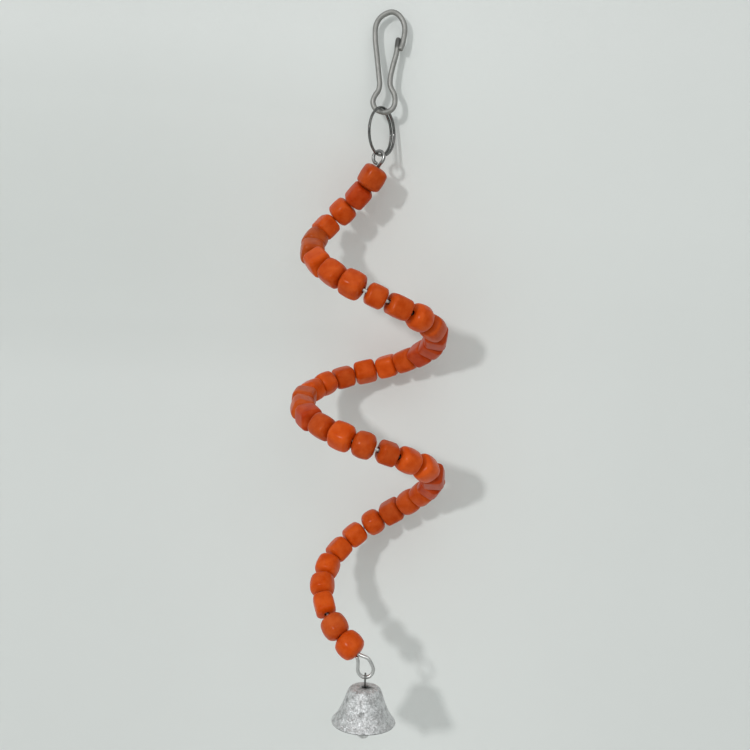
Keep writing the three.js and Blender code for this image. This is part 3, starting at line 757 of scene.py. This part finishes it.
bead_finish, tree, surface = new_finish("orange_paint")
tint = stored(tree, "tint", "Color")
place = object_place(tree)
clouds = grain(place, 260.0, 3.0)
flecks = grain(place, 1900.0, 2.0)
deep = blend_colours(1.0, tint, DEEP_PAINT, "MULTIPLY")
pale = blend_colours(0.08, tint, PALE_PAINT)
colour = blend_colours(remap(clouds, 0.32, 0.68, 0.0, 1.0), deep, pale)
colour = blend_colours(remap(flecks, 0.60, 0.75, 0.0, 0.30), colour, pale)
# painted shade and thin paint in and round the bore
bore_thin_paint_and_shade = remap(stored(tree, "near_bore"), 0.94, 1.0, 0.0, 0.92)
stretched = vector_calc("MULTIPLY", stored(tree, "own_place", "Vector"), (1.0, 1.0, 0.09))
shifted = vector_calc("ADD", stretched, vector_calc("MULTIPLY", place, (0.0, 0.0, 0.6)))
lines = grain(shifted, 1500.0, 3.0, 0.6)
relief = calc("ADD", calc("MULTIPLY", lines, 0.6), calc("MULTIPLY", flecks, 0.4))
bump = node(tree, "ShaderNodeBump", {"Height": relief, "Strength": 0.22, "Distance": 0.05 * MM})
set_inputs(surface, {
    "Base Color": blend_colours(bore_thin_paint_and_shade, colour, BORE_THIN_PAINT_AND_SHADE),
    "Roughness": remap(clouds, 0.3, 0.7, 0.36, 0.48),
    "Specular IOR Level": 0.12,
    "Specular Tint": (1.0, 0.45, 0.2, 1.0),
    "Coat Weight": 0.40,
    "Coat IOR": 1.25,
    "Coat Roughness": 0.20,
    "Normal": bump.outputs[0],
})
print("bead paint has", len(tree.nodes), "nodes")

# %% [markdown]
# ## One bead
# A bead is a cube with its edges tumbled round and a bore through it. A grid is rolled up to a closed
# sleeve: its rows run over one end, down the sides, over the other end and back through the bore. The
# rounding keeps a smaller core box and lets the surface stand one edge radius away from it. The crown
# then draws the square toward a drum with a swollen belly and domed ends, and a noise with its own seed
# makes each bead uneven.
# %% Bead tree
ROWS_AROUND, ROWS_ALONG = 64, 60
END_ROWS, SIDE_ROWS, BACK_ROWS = 0.26, 0.62, 0.88  # where the first end, the sides and the second end stop

bead_tree, given, bead_keys = new_tree("Tumbled bead", {
    "Geometry": ("Geometry", None),
    "Length": ("Float", 9.0 * MM),
    "Width": ("Float", 9.5 * MM),
    "Edge radius": ("Float", 2.6 * MM),
    "Bore": ("Float", 3.1 * MM),
    "Lip": ("Float", 0.2 * MM),
    "Crown": ("Float", 0.08),
    "Unevenness": ("Float", 0.12 * MM),
    "Seed": ("Float", 0.0),
    "Tint": ("Color", (0.6, 0.1, 0.02, 1.0)),
    "Place": ("Vector", (0, 0, 0)),
    "Turn": ("Vector", (0, 0, 0)),
    "Finish": ("Material", None),
})
tree = bead_tree
times, plus, minus, over, power, times_plus, size_of = (
    partial(calc, name)
    for name in ("MULTIPLY", "ADD", "SUBTRACT", "DIVIDE", "POWER", "MULTIPLY_ADD", "ABSOLUTE"))
sleeve = node(tree, "GeometryNodeMeshGrid", {"Size X": 1.0, "Size Y": 1.0, "Vertices X": ROWS_AROUND + 1,
                                             "Vertices Y": ROWS_ALONG + 1}).outputs[0]
grid_x, grid_y, _ = parted(node(tree, "GeometryNodeInputPosition").outputs[0])
turn = times(plus(grid_x, 0.5), 2 * pi)
row = plus(grid_y, 0.5)
cosine, sine = calc("COSINE", turn), calc("SINE", turn)
widest = calc("MAXIMUM", size_of(cosine), size_of(sine))
half_width, half_length, bore_radius = (times(given[label], 0.5) for label in ("Width", "Length", "Bore"))
first_end, second_end = remap(row, 0.0, END_ROWS, 0.0, 1.0), remap(row, SIDE_ROWS, BACK_ROWS, 1.0, 0.0)
outward = calc("MINIMUM", first_end, second_end)  # 0 at the bore, 1 on the sides
height = plus(remap(row, END_ROWS, SIDE_ROWS, 1.0, -1.0), remap(row, BACK_ROWS, 1.0, 0.0, 2.0))
reach = plus(times(bore_radius, minus(1.0, outward)), times(over(half_width, widest), outward))
boxed = joined(times(cosine, reach), times(sine, reach), times(height, half_length))
print("sleeve of", ROWS_AROUND, "by", ROWS_ALONG, "faces")

# %% Bead rounding
END_SHARE = 0.62  # the ends are rounded less along the bore than across it

edge_radius = given["Edge radius"]
stretched_box = vector_calc("MULTIPLY", boxed, (1.0, 1.0, 1 / END_SHARE))
core_width = minus(half_width, edge_radius)
core_size = joined(core_width, core_width, minus(over(half_length, END_SHARE), edge_radius))
core = vector_calc("MINIMUM", stretched_box, core_size)
core = vector_calc("MAXIMUM", core, vector_calc("SCALE", core_size, -1.0))
away = vector_calc("NORMALIZE", vector_calc("SUBTRACT", stretched_box, core))
rounded = vector_calc("ADD", core, vector_calc("SCALE", away, edge_radius))
rounded = vector_calc("MULTIPLY", rounded, (1.0, 1.0, END_SHARE))
print("rounding takes", len(tree.nodes), "nodes so far")

# %% Bead crown and unevenness
DRUM_WIDTH = 1.09  # of a fully crowned bead, against its square
BELLY_RISE, BELLY_SHARE = 0.35, 0.22  # the sides swell in the middle and draw in toward the ends
DOME_SHARE = -0.13  # and the ends fall away from the bore
WAVE_SCALE, WAVE_DETAIL = 210.0, 1.5
LIP_WIDTH = 0.12  # the share of an end that sinks toward the bore
IN_BORE = 0.001  # nearer to the bore than this, the surface is the bore's own

flat_xy = vector_calc("MULTIPLY", rounded, (1.0, 1.0, 0.0))
way_x, way_y, _ = parted(vector_calc("NORMALIZE", flat_xy))
fourths = plus(power(size_of(way_x), 4.0), power(size_of(way_y), 4.0))
squareness = power(fourths, 0.25)  # 1 toward a face, 0.84 toward an edge
toward_drum = times_plus(times_plus(squareness, DRUM_WIDTH, -1.0), given["Crown"], 1.0)
up_share = power(over(parted(rounded)[2], half_length), 2.0)
belly = times_plus(minus(BELLY_RISE, up_share), times(given["Crown"], BELLY_SHARE), 1.0)
swell = times(toward_drum, belly)
out_share = power(over(vector_calc("LENGTH", flat_xy), half_width), 2.0)
dome = times_plus(times(out_share, given["Crown"]), DOME_SHARE, 1.0)
crowned = vector_calc("MULTIPLY", rounded, joined(swell, swell, dome))
waves = node(tree, "ShaderNodeTexNoise", {"Vector": boxed, "W": given["Seed"], "Scale": WAVE_SCALE,
                                          "Detail": WAVE_DETAIL}, noise_dimensions="4D").outputs[0]
wave_size = times(minus(waves, 0.5), times(given["Unevenness"], 2.0))
uneven = vector_calc("ADD", crowned, vector_calc("SCALE", away, wave_size))
on_outside = calc("GREATER_THAN", outward, IN_BORE)
shell = node(tree, "ShaderNodeMix", {0: on_outside, 4: boxed, 5: uneven}, data_type="VECTOR").outputs[1]
lip_share = power(remap(outward, 0.0, LIP_WIDTH, 1.0, 0.0), 2.0)
lip_drop = times(times(lip_share, given["Lip"]), calc("SIGN", height))
bore_drop = times(times(given["Lip"], height), minus(1.0, on_outside))
lowered = plus(times(lip_drop, on_outside), bore_drop)
formed = vector_calc("SUBTRACT", shell, joined(0.0, 0.0, lowered))
print("forming takes", len(tree.nodes), "nodes so far")

# %% Closing the bead
MERGE_REACH = 0.001 * MM

body = sleeve
for label, kind, value in (("own_place", "FLOAT_VECTOR", formed), ("near_bore", "FLOAT", minus(1.0, outward)),
                           ("tint", "FLOAT_COLOR", given["Tint"])):
    body = store(body, label, value, kind)
kept_place = node(tree, "GeometryNodeInputNamedAttribute", {"Name": "own_place"},
                  data_type="FLOAT_VECTOR").outputs[0]
for kind, inputs in (("SetPosition", {"Position": kept_place}),
                     ("MergeByDistance", {"Distance": MERGE_REACH}),
                     ("FlipFaces", {}),  # rolled this way, the grid's faces look inward
                     ("SetShadeSmooth", {}),
                     ("Transform", {"Translation": given["Place"], "Rotation": given["Turn"]})):
    body = node(tree, "GeometryNode" + kind, {0: body, **inputs}).outputs[0]
close_tree(tree, body, given["Finish"])
print("bead tree has", len(tree.nodes), "nodes")

# %% [markdown]
# ## All the beads
# Each bead is its own CAD body, so the tree runs once for each. Its length is what its neighbours leave
# it: on the bends the inner edges nearly touch, on the straighter runs the whole ends do, and here and
# there the parting between two beads lies a little farther up or down the wire. Form, roll and tint
# follow the photo bead by bead, and the roll counts from the side that the viewer sees.
# %% Bead rolls and tints
BEAD_WIDE_SHARE = 1.065  # width of a bead against its CAD length
BEAD_BORE = 2.3
BEAD_ROLLS = [  # degrees; 0 turns a flat side to the viewer, 45 an edge
    25, 20, 28, 16, 10, 18, 14, 14, 40, 4, 6, 20, 22, -7, 20, 22, 5, 12, -28, 18, -18, 12,
    -24, 30, 39, 5, 34, 0, -18, -25, -30, -20, 0, 10, 22, 18, 20, 18, 15, -22, -20, 8, 20, 35,
]
BEAD_WIDTHS = {1: 1.04, 2: 0.95, 9: 1.06, 10: 0.97, 11: 0.96, 12: 1.05, 20: 0.95, 27: 1.06, 28: 1.03,
               29: 0.94, 37: 1.03, 38: 0.95, 39: 0.94, 42: 0.88, 44: 1.03}
BEAD_FORMS = {  # ranges of edge radius and crown, as shares
    "crisp": ((0.21, 0.25), (0.08, 0.18)),
    "square": ((0.25, 0.29), (0.18, 0.30)),
    "barrel": ((0.27, 0.31), (0.42, 0.58)),
    "round": ((0.28, 0.31), (0.85, 0.95)),
}
FORM_BEADS = {  # the others are square
    "crisp": (14, 16, 32),
    "barrel": (1, 3, 5, 8, 9, 13, 21, 26, 27, 30, 31, 34, 35, 38, 40, 41),
    "round": (12, 28, 37, 43, 44),
}
TINTS = {
    "bright": linear(204, 76, 2),
    "orange": linear(193, 71, 4),
    "red": linear(180, 57, 6),
    "salmon": linear(186, 74, 18),
    "brown": linear(170, 68, 14),
    "amber": linear(178, 64, 3),
}
# Tints are partly each bead's own colour and partly painted light: beads that these lamps light less, on the
# right bends and at the back of the left bends, get brighter tints.
BEAD_TINTS_WITH_PAINTED_LIGHT = """amber red orange orange brown brown bright orange orange orange orange
bright orange red red red orange bright bright orange bright bright
salmon salmon red amber bright amber amber bright bright red
red orange orange amber orange bright bright bright bright bright salmon bright""".split()
print("tints", {name: BEAD_TINTS_WITH_PAINTED_LIGHT.count(name) for name in TINTS})

# %% Bead frames
AXIS_SHARE = 0.45  # a bead's axis joins the wire's places this far up and down from its middle

bead_frames = []
for i, length in enumerate(bead_lengths):
    middle = coil_at(length)
    upper, lower = (coil_at(length + way * AXIS_SHARE * cad_bead_length) for way in (-1, 1))
    axis = (upper - lower).normalized()
    chord = (upper + lower) / 2
    to_viewer = camera.matrix_world.translation / MM - middle
    to_viewer = (to_viewer - axis * to_viewer.dot(axis)).normalized()
    side_way = axis.cross(to_viewer)
    roll = Matrix.Rotation(radians(BEAD_ROLLS[i]), 3, "Z")
    basis = Matrix((to_viewer, side_way, axis)).transposed() @ roll
    bead_frames.append((middle.lerp(chord, 0.5), axis, basis))
turns = [joint for joint in frame["joints"] if joint["name"].startswith("turn_bead")]
pivots = {joint["child"]: Vector(joint["pos_m"]) / MM for joint in turns}
miss = max((pivots[f"bead_{i + 1:02d}"] - bead_frames[i][0]).length for i in range(BEAD_COUNT))
print("farthest bead from its CAD place, mm", round(miss, 4))

# %% Bead lengths that just clear their neighbours
BEAD_GAP = 0.0
LOOSE_GAP = 0.5
TIGHT_GAP = -0.9  # domed ends pressed together
TIGHT_AFTER = (1, 8, 26, 27, 43)
PARTING_MOVES = {  # how far the parting after a bead lies down the wire
    10: -1.6, 11: -1.6, 12: -1.0, 19: 0.7, 20: 1.0, 21: 0.8, 28: -0.6, 29: -2.2, 30: -1.5, 31: -0.8,
}
END_HALF = 5.1  # of the first and last bead, toward the eyes
EDGE_SHARE = 0.25
FLAT_SHARE = 0.75  # of the flat part of an end, where it meets its neighbour on a bend


def half_toward(i, j):
    """How far bead i may reach along its axis toward bead j."""
    (here, axis, _), (there, other_axis, _) = bead_frames[i], bead_frames[j]
    flat = FLAT_SHARE * (BEAD_WIDE_SHARE / 2 - EDGE_SHARE) * cad_bead_length
    pair = min(i, j) + 1
    gap = LOOSE_GAP if pair in LOOSE_AFTER else TIGHT_GAP if pair in TIGHT_AFTER else BEAD_GAP
    move = PARTING_MOVES.get(pair, 0.0) * (1 if i < j else -1)
    return ((there - here).length - gap) / 2 - flat * tan(axis.angle(other_axis) / 2) + move


halves = []
for i in range(BEAD_COUNT):
    up = half_toward(i, i - 1) if i > 0 else END_HALF
    down = half_toward(i, i + 1) if i < BEAD_COUNT - 1 else END_HALF
    halves.append((up, down))
whole = [up + down for up, down in halves]
print("bead lengths from", round(min(whole), 2), "to", round(max(whole), 2), "mm")

# %% Make the beads
SHADES, WIDTHS, UNEVENNESS = (0.95, 1.05), (0.98, 1.03), (0.10, 0.18)  # ranges
SEED_STEP = 3.7

chance = random.Random(12)
for i, (centre, axis, basis) in enumerate(bead_frames):
    name = f"bead_{i + 1:02d}"
    up, down = halves[i]
    form = next((form for form, members in FORM_BEADS.items() if i + 1 in members), "square")
    edge_range, crown_range = BEAD_FORMS[form]
    shade = chance.uniform(*SHADES)
    tint_colour = [v * shade for v in TINTS[BEAD_TINTS_WITH_PAINTED_LIGHT[i]][:3]] + [1.0]
    bead = grow(name + "_tumbled", bpy.data.meshes.new(name), bead_tree, bead_keys, {
        "Length": (up + down) * MM,
        "Width": BEAD_WIDE_SHARE * cad_bead_length * BEAD_WIDTHS.get(i + 1, chance.uniform(*WIDTHS)) * MM,
        "Edge radius": chance.uniform(*edge_range) * cad_bead_length * MM,
        "Bore": BEAD_BORE * MM,
        "Crown": chance.uniform(*crown_range),
        "Unevenness": chance.uniform(*UNEVENNESS) * MM,
        "Seed": SEED_STEP * i,
        "Tint": tint_colour,
        "Place": (centre + axis * (up - down) / 2) * MM,
        "Turn": basis.to_euler(),
        "Finish": bead_finish,
    })
    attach(bead, name)
    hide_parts(name)
print("bead volume mm3", volume(bead), "faces", len(bead.data.polygons))

# %% [markdown]
# ## Bell wire
# A thin dark wire goes over the lower eye, down through the hole in the bell's crown, and ends inside in
# a foot on one side and a small hook for the clapper on the other.
# %% Bell wire
BELL_WIRE = 0.8
BELL_WALL = 1.1
BELL_NECK = 3.9
CLAPPER_WIRE = 0.7
THIN_PARTS, THIN_STEP = 10, 0.2  # how finely the thin wires are bent
BELL_WIRE_SIDES, CLAPPER_SIDES = 16, 14
lower_bottom = lower_centre + vec(0, 0, -lower_across)
loop_radius = WIRE / 2 + CLEARANCE + BELL_WIRE / 2
leg_half = BELL_WIRE / 2 + CLEARANCE
foot_level = -(BELL_NECK + BELL_WALL + CLEARANCE + BELL_WIRE / 2)
hook_half = CLAPPER_WIRE / 2 + 0.8 * CLEARANCE + BELL_WIRE / 2
hook_level = foot_level - 1.6
staple = [(leg_half + 2.6, foot_level), (leg_half + 0.9, foot_level), (leg_half + 0.2, foot_level + 0.25),
          (leg_half, foot_level + 0.9), (leg_half, -BELL_NECK), (0.8 * loop_radius, -0.55 * BELL_NECK)]
staple += arc(loop_radius, 0, 181, 30)
staple += [(-0.8 * loop_radius, -0.55 * BELL_NECK), (-leg_half, -BELL_NECK), (-leg_half, foot_level)]
staple += [(across, hook_level + up) for across, up in arc(hook_half, 180, 361, 30)]
staple.append((hook_half, hook_level + 0.3))
staple_run = even_path(smooth_path([lower_bottom + vec(0, y, z) for y, z in staple], THIN_PARTS), THIN_STEP)
bell_wire = bend_wire("bell_wire_bent", staple_run, BELL_WIRE, bell_wire_finish, BELL_WIRE_SIDES)
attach(bell_wire, "bell")
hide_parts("bell_wire")
print("bell wire points", len(staple_run))

# %% [markdown]
# ## Bell shell
# The bell is a small alloy casting with a flat crown, a waist and a flared lip, and its skin is rough:
# many tiny facets that glitter and a few pits. Painted shade darkens the pits, the hole in the crown round
# the wire, and the faces under the lip. The form is a profile turned about the vertical, with the
# casting's unevenness in the mesh. The glitter is a finish that tilts the surface a little in every small
# cell.
# %% Bell finish
# colours of the painted shade in the hollows and under the lip
HOLLOW_SHADE, UNDERSIDE_SHADE = (0.05, 0.05, 0.048, 1), (0.10, 0.10, 0.10, 1)


def speckled_cast(name, colour, dark, tilt, cell, shade_spots=(), lower_face_shade=0.0):
    """A cast skin, with spots of painted shade given as (place, size, depth), and painted shade on faces that
    look down.
    """
    finish, tree, surface = new_finish(name)
    place = object_place(tree)
    cells = node(tree, "ShaderNodeTexVoronoi", {"Vector": place, "Scale": cell}).outputs["Color"]
    leaning = vector_calc("SCALE", vector_calc("SUBTRACT", cells, (0.5, 0.5, 0.5)), tilt)
    normal = node(tree, "ShaderNodeNewGeometry").outputs["Normal"]
    patches = grain(place, 480.0, 4.0, 0.65)
    fine = grain(place, 2100.0, 2.0)
    bump = node(tree, "ShaderNodeBump", {"Height": patches, "Strength": 0.5, "Distance": 0.25 * MM,
                                         "Normal": normal})
    glint = vector_calc("NORMALIZE", vector_calc("ADD", bump.outputs[0], leaning))
    mottle = calc("ADD", calc("MULTIPLY", patches, 0.7), calc("MULTIPLY", fine, 0.3))
    base = blend_colours(remap(mottle, 0.40, 0.56, 1.0, 0.0), colour, dark)
    # painted shade round the crown's hole and in the pits
    for middle, size, depth in shade_spots:
        apart = vector_calc("LENGTH", vector_calc("SUBTRACT", place, tuple(middle * MM)))
        ragged = calc("MULTIPLY_ADD", calc("SUBTRACT", patches, 0.5), size * 1.6 * MM, apart)
        spot_shade = remap(ragged, 0.2 * size * MM, size * MM, depth, 0.0)
        base = blend_colours(spot_shade, base, HOLLOW_SHADE)
    # painted shade on faces that look down, under the lip and inside the bell
    downward = parted(node(tree, "ShaderNodeTexCoord").outputs["Normal"])[2]
    base = blend_colours(remap(downward, -0.30, 0.15, lower_face_shade, 0.0), base, UNDERSIDE_SHADE)
    set_inputs(surface, {
        "Base Color": base,
        "Metallic": 0.78,
        "Roughness": remap(fine, 0.3, 0.7, 0.42, 0.62),
        "Normal": glint,
    })
    return finish


crown = lower_bottom + vec(0, 0, -BELL_NECK)
PITS = [  # place, size and depth
    (vec(-0.9, -9.3, -8.0), 0.9, 0.42), (vec(1.2, -6.3, -0.7), 0.8, 0.25), (vec(-7.5, -3.4, -4.6), 0.8, 0.3),
]
# painted shade round the hole where the wire enters, and in the pits
BELL_SHADE_SPOTS = [(crown + vec(0.6, -1.2, 0), 3.4, 0.9)]
BELL_SHADE_SPOTS += [(crown + pit, 1.5 * size, 0.55) for pit, size, _ in PITS]
bell_finish = speckled_cast("silver_cast", (0.68, 0.69, 0.695, 1), (0.42, 0.42, 0.42, 1), 0.75, 2600.0,
                            BELL_SHADE_SPOTS, 0.85)
ball_finish = speckled_cast("ball_cast", (0.70, 0.70, 0.70, 1), (0.46, 0.46, 0.45, 1), 0.25, 1500.0)
print("cast finishes", 2, "shade_spots", len(BELL_SHADE_SPOTS))

# %% Turning helper
def turned(name, profile, centre, segments, finish, shake):
    """A closed profile of (radius, height) in millimetres turned about the vertical through centre."""
    form = bmesh.new()
    rings = []
    for radius, height in profile:
        if radius < 1e-6:
            rings.append([form.verts.new((0, 0, height))] * segments)
            continue
        angles = [2 * pi * k / segments for k in range(segments)]
        rings.append([form.verts.new((radius * cos(a), radius * sin(a), height)) for a in angles])
    pairs = list(zip(rings, rings[1:]))
    if profile[0][0] > 1e-6:
        pairs.append((rings[-1], rings[0]))
    for first, second in pairs:
        for k in range(segments):
            around = [first[k], second[k], second[(k + 1) % segments], first[(k + 1) % segments]]
            form.faces.new(list(dict.fromkeys(around)))  # a point on the axis counts once
    form.normal_update()
    for vert in form.verts:
        vert.co += shake(vert.co.copy(), vert.normal.copy())
    for vert in form.verts:
        vert.co = (vert.co + centre) * MM
    bmesh.ops.recalc_face_normals(form, faces=form.faces)
    mesh = bpy.data.meshes.new(name)
    form.to_mesh(mesh)
    form.free()
    mesh.shade_smooth()
    mesh.materials.append(finish)
    return put(name, mesh)


print("turning helper ready")

# %% Bell shell
BELL_HEIGHT = 14.7
COARSE_CAST, FINE_CAST = 0.10, 0.05  # unevenness
BELL_SEGMENTS = 144
crown_hole = leg_half + BELL_WIRE / 2 + CLEARANCE
outside = [(5.1, -0.1), (6.3, -0.65), (7.1, -1.9), (7.75, -3.6), (8.5, -5.8), (9.4, -8.0), (10.55, -10.3),
           (11.9, -12.5), (13.2, -14.05)]
inside = [(radius - BELL_WALL, height) for radius, height in outside[:1:-1]]
inside_top = [(6.3 - BELL_WALL, -BELL_WALL - 0.6), (5.1 - BELL_WALL, -BELL_WALL - 0.1)]


def fair(points, parts):
    return [(p.x, p.z) for p in smooth_path([vec(r, 0, h) for r, h in points], parts)]


bell_profile = fair([(crown_hole, -0.05), (crown_hole + 0.35, 0.04), (3.6, 0.06), *outside], 7)
lip = [(13.33, -14.3), (13.2, -14.55), (12.85, -BELL_HEIGHT), (inside[0][0], -BELL_HEIGHT + 0.15)]
bell_profile += fair(lip, 5)
bell_profile += fair([*inside[1:], *inside_top, (crown_hole + 0.2, -BELL_WALL)], 5)


def cast_shake(place, normal):
    coarse = noise.noise(place * 0.45)
    fine = noise.noise(place * 1.7 + vec(7, 3, 1))
    dent = sum(depth * exp(-((place - pit).length / size) ** 2) for pit, size, depth in PITS)
    return normal * (COARSE_CAST * coarse + FINE_CAST * fine - dent)


bell = turned("bell_shell_cast", bell_profile, crown, BELL_SEGMENTS, bell_finish, cast_shake)
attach(bell, "bell")
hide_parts("bell_shell")
print("bell faces", len(bell.data.polygons), "volume mm3", volume(bell))

# %% [markdown]
# ## Clapper
# A thin stem with a small eye hangs on the bell wire's hook and carries a cast ball, whose lowest part
# shows under the lip. The ball has the faint seam of its mould.
# %% Clapper
CLAPPER_BALL = 5.5
CLAPPER_BELOW = 6.7  # how far the ball reaches below the lip
BALL_RINGS, BALL_SEGMENTS = 32, 56
BALL_UNEVEN, SEAM_HIGH, SEAM_WIDE = 0.04, 0.05, 0.12
hook_bottom = hook_level - hook_half
clapper_loop = CLAPPER_WIRE / 2 + BELL_WIRE / 2 + 0.5
clapper_top = hook_bottom + BELL_WIRE / 2 + 0.8 * CLEARANCE + CLAPPER_WIRE / 2
ball_level = -(BELL_NECK + BELL_HEIGHT + CLAPPER_BELOW) + CLAPPER_BALL / 2
stem = [(across, clapper_top - clapper_loop + up) for across, up in arc(clapper_loop, 222, -61, -31)]
loop_bottom = clapper_top - 2 * clapper_loop
stem += [(0.1, loop_bottom - 0.9), (0, loop_bottom - 2), (0, ball_level)]
stem_run = even_path(smooth_path([lower_bottom + vec(x, 0, z) for x, z in stem], THIN_PARTS), THIN_STEP)
clapper_wire = bend_wire("clapper_wire_bent", stem_run, CLAPPER_WIRE, bell_wire_finish, CLAPPER_SIDES)
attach(clapper_wire, "clapper")
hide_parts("clapper_wire")

ball_radius = CLAPPER_BALL / 2
ball_bore = CLAPPER_WIRE / 2 + CLEARANCE
ball_top = acos(ball_bore / ball_radius)
ball_profile = [(0.0, -ball_radius)]
for k in range(1, BALL_RINGS + 1):
    angle = -pi / 2 + (pi / 2 + ball_top) * k / BALL_RINGS
    ball_profile.append((ball_radius * cos(angle), ball_radius * sin(angle)))
ball_profile += [(ball_bore, 0.6), (ball_bore, -CLEARANCE), (0.0, -CLEARANCE)]


def ball_shake(place, normal):
    seam = SEAM_HIGH * exp(-(place.z / SEAM_WIDE) ** 2) if place.length > 0.9 * ball_radius else 0.0
    return normal * (BALL_UNEVEN * noise.noise(place * 1.1) + seam)


ball_centre = lower_bottom + vec(0, 0, ball_level)
ball = turned("clapper_ball_cast", ball_profile, ball_centre, BALL_SEGMENTS, ball_finish, ball_shake)
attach(ball, "clapper")
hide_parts("clapper_ball")
print("ball volume mm3", volume(ball))
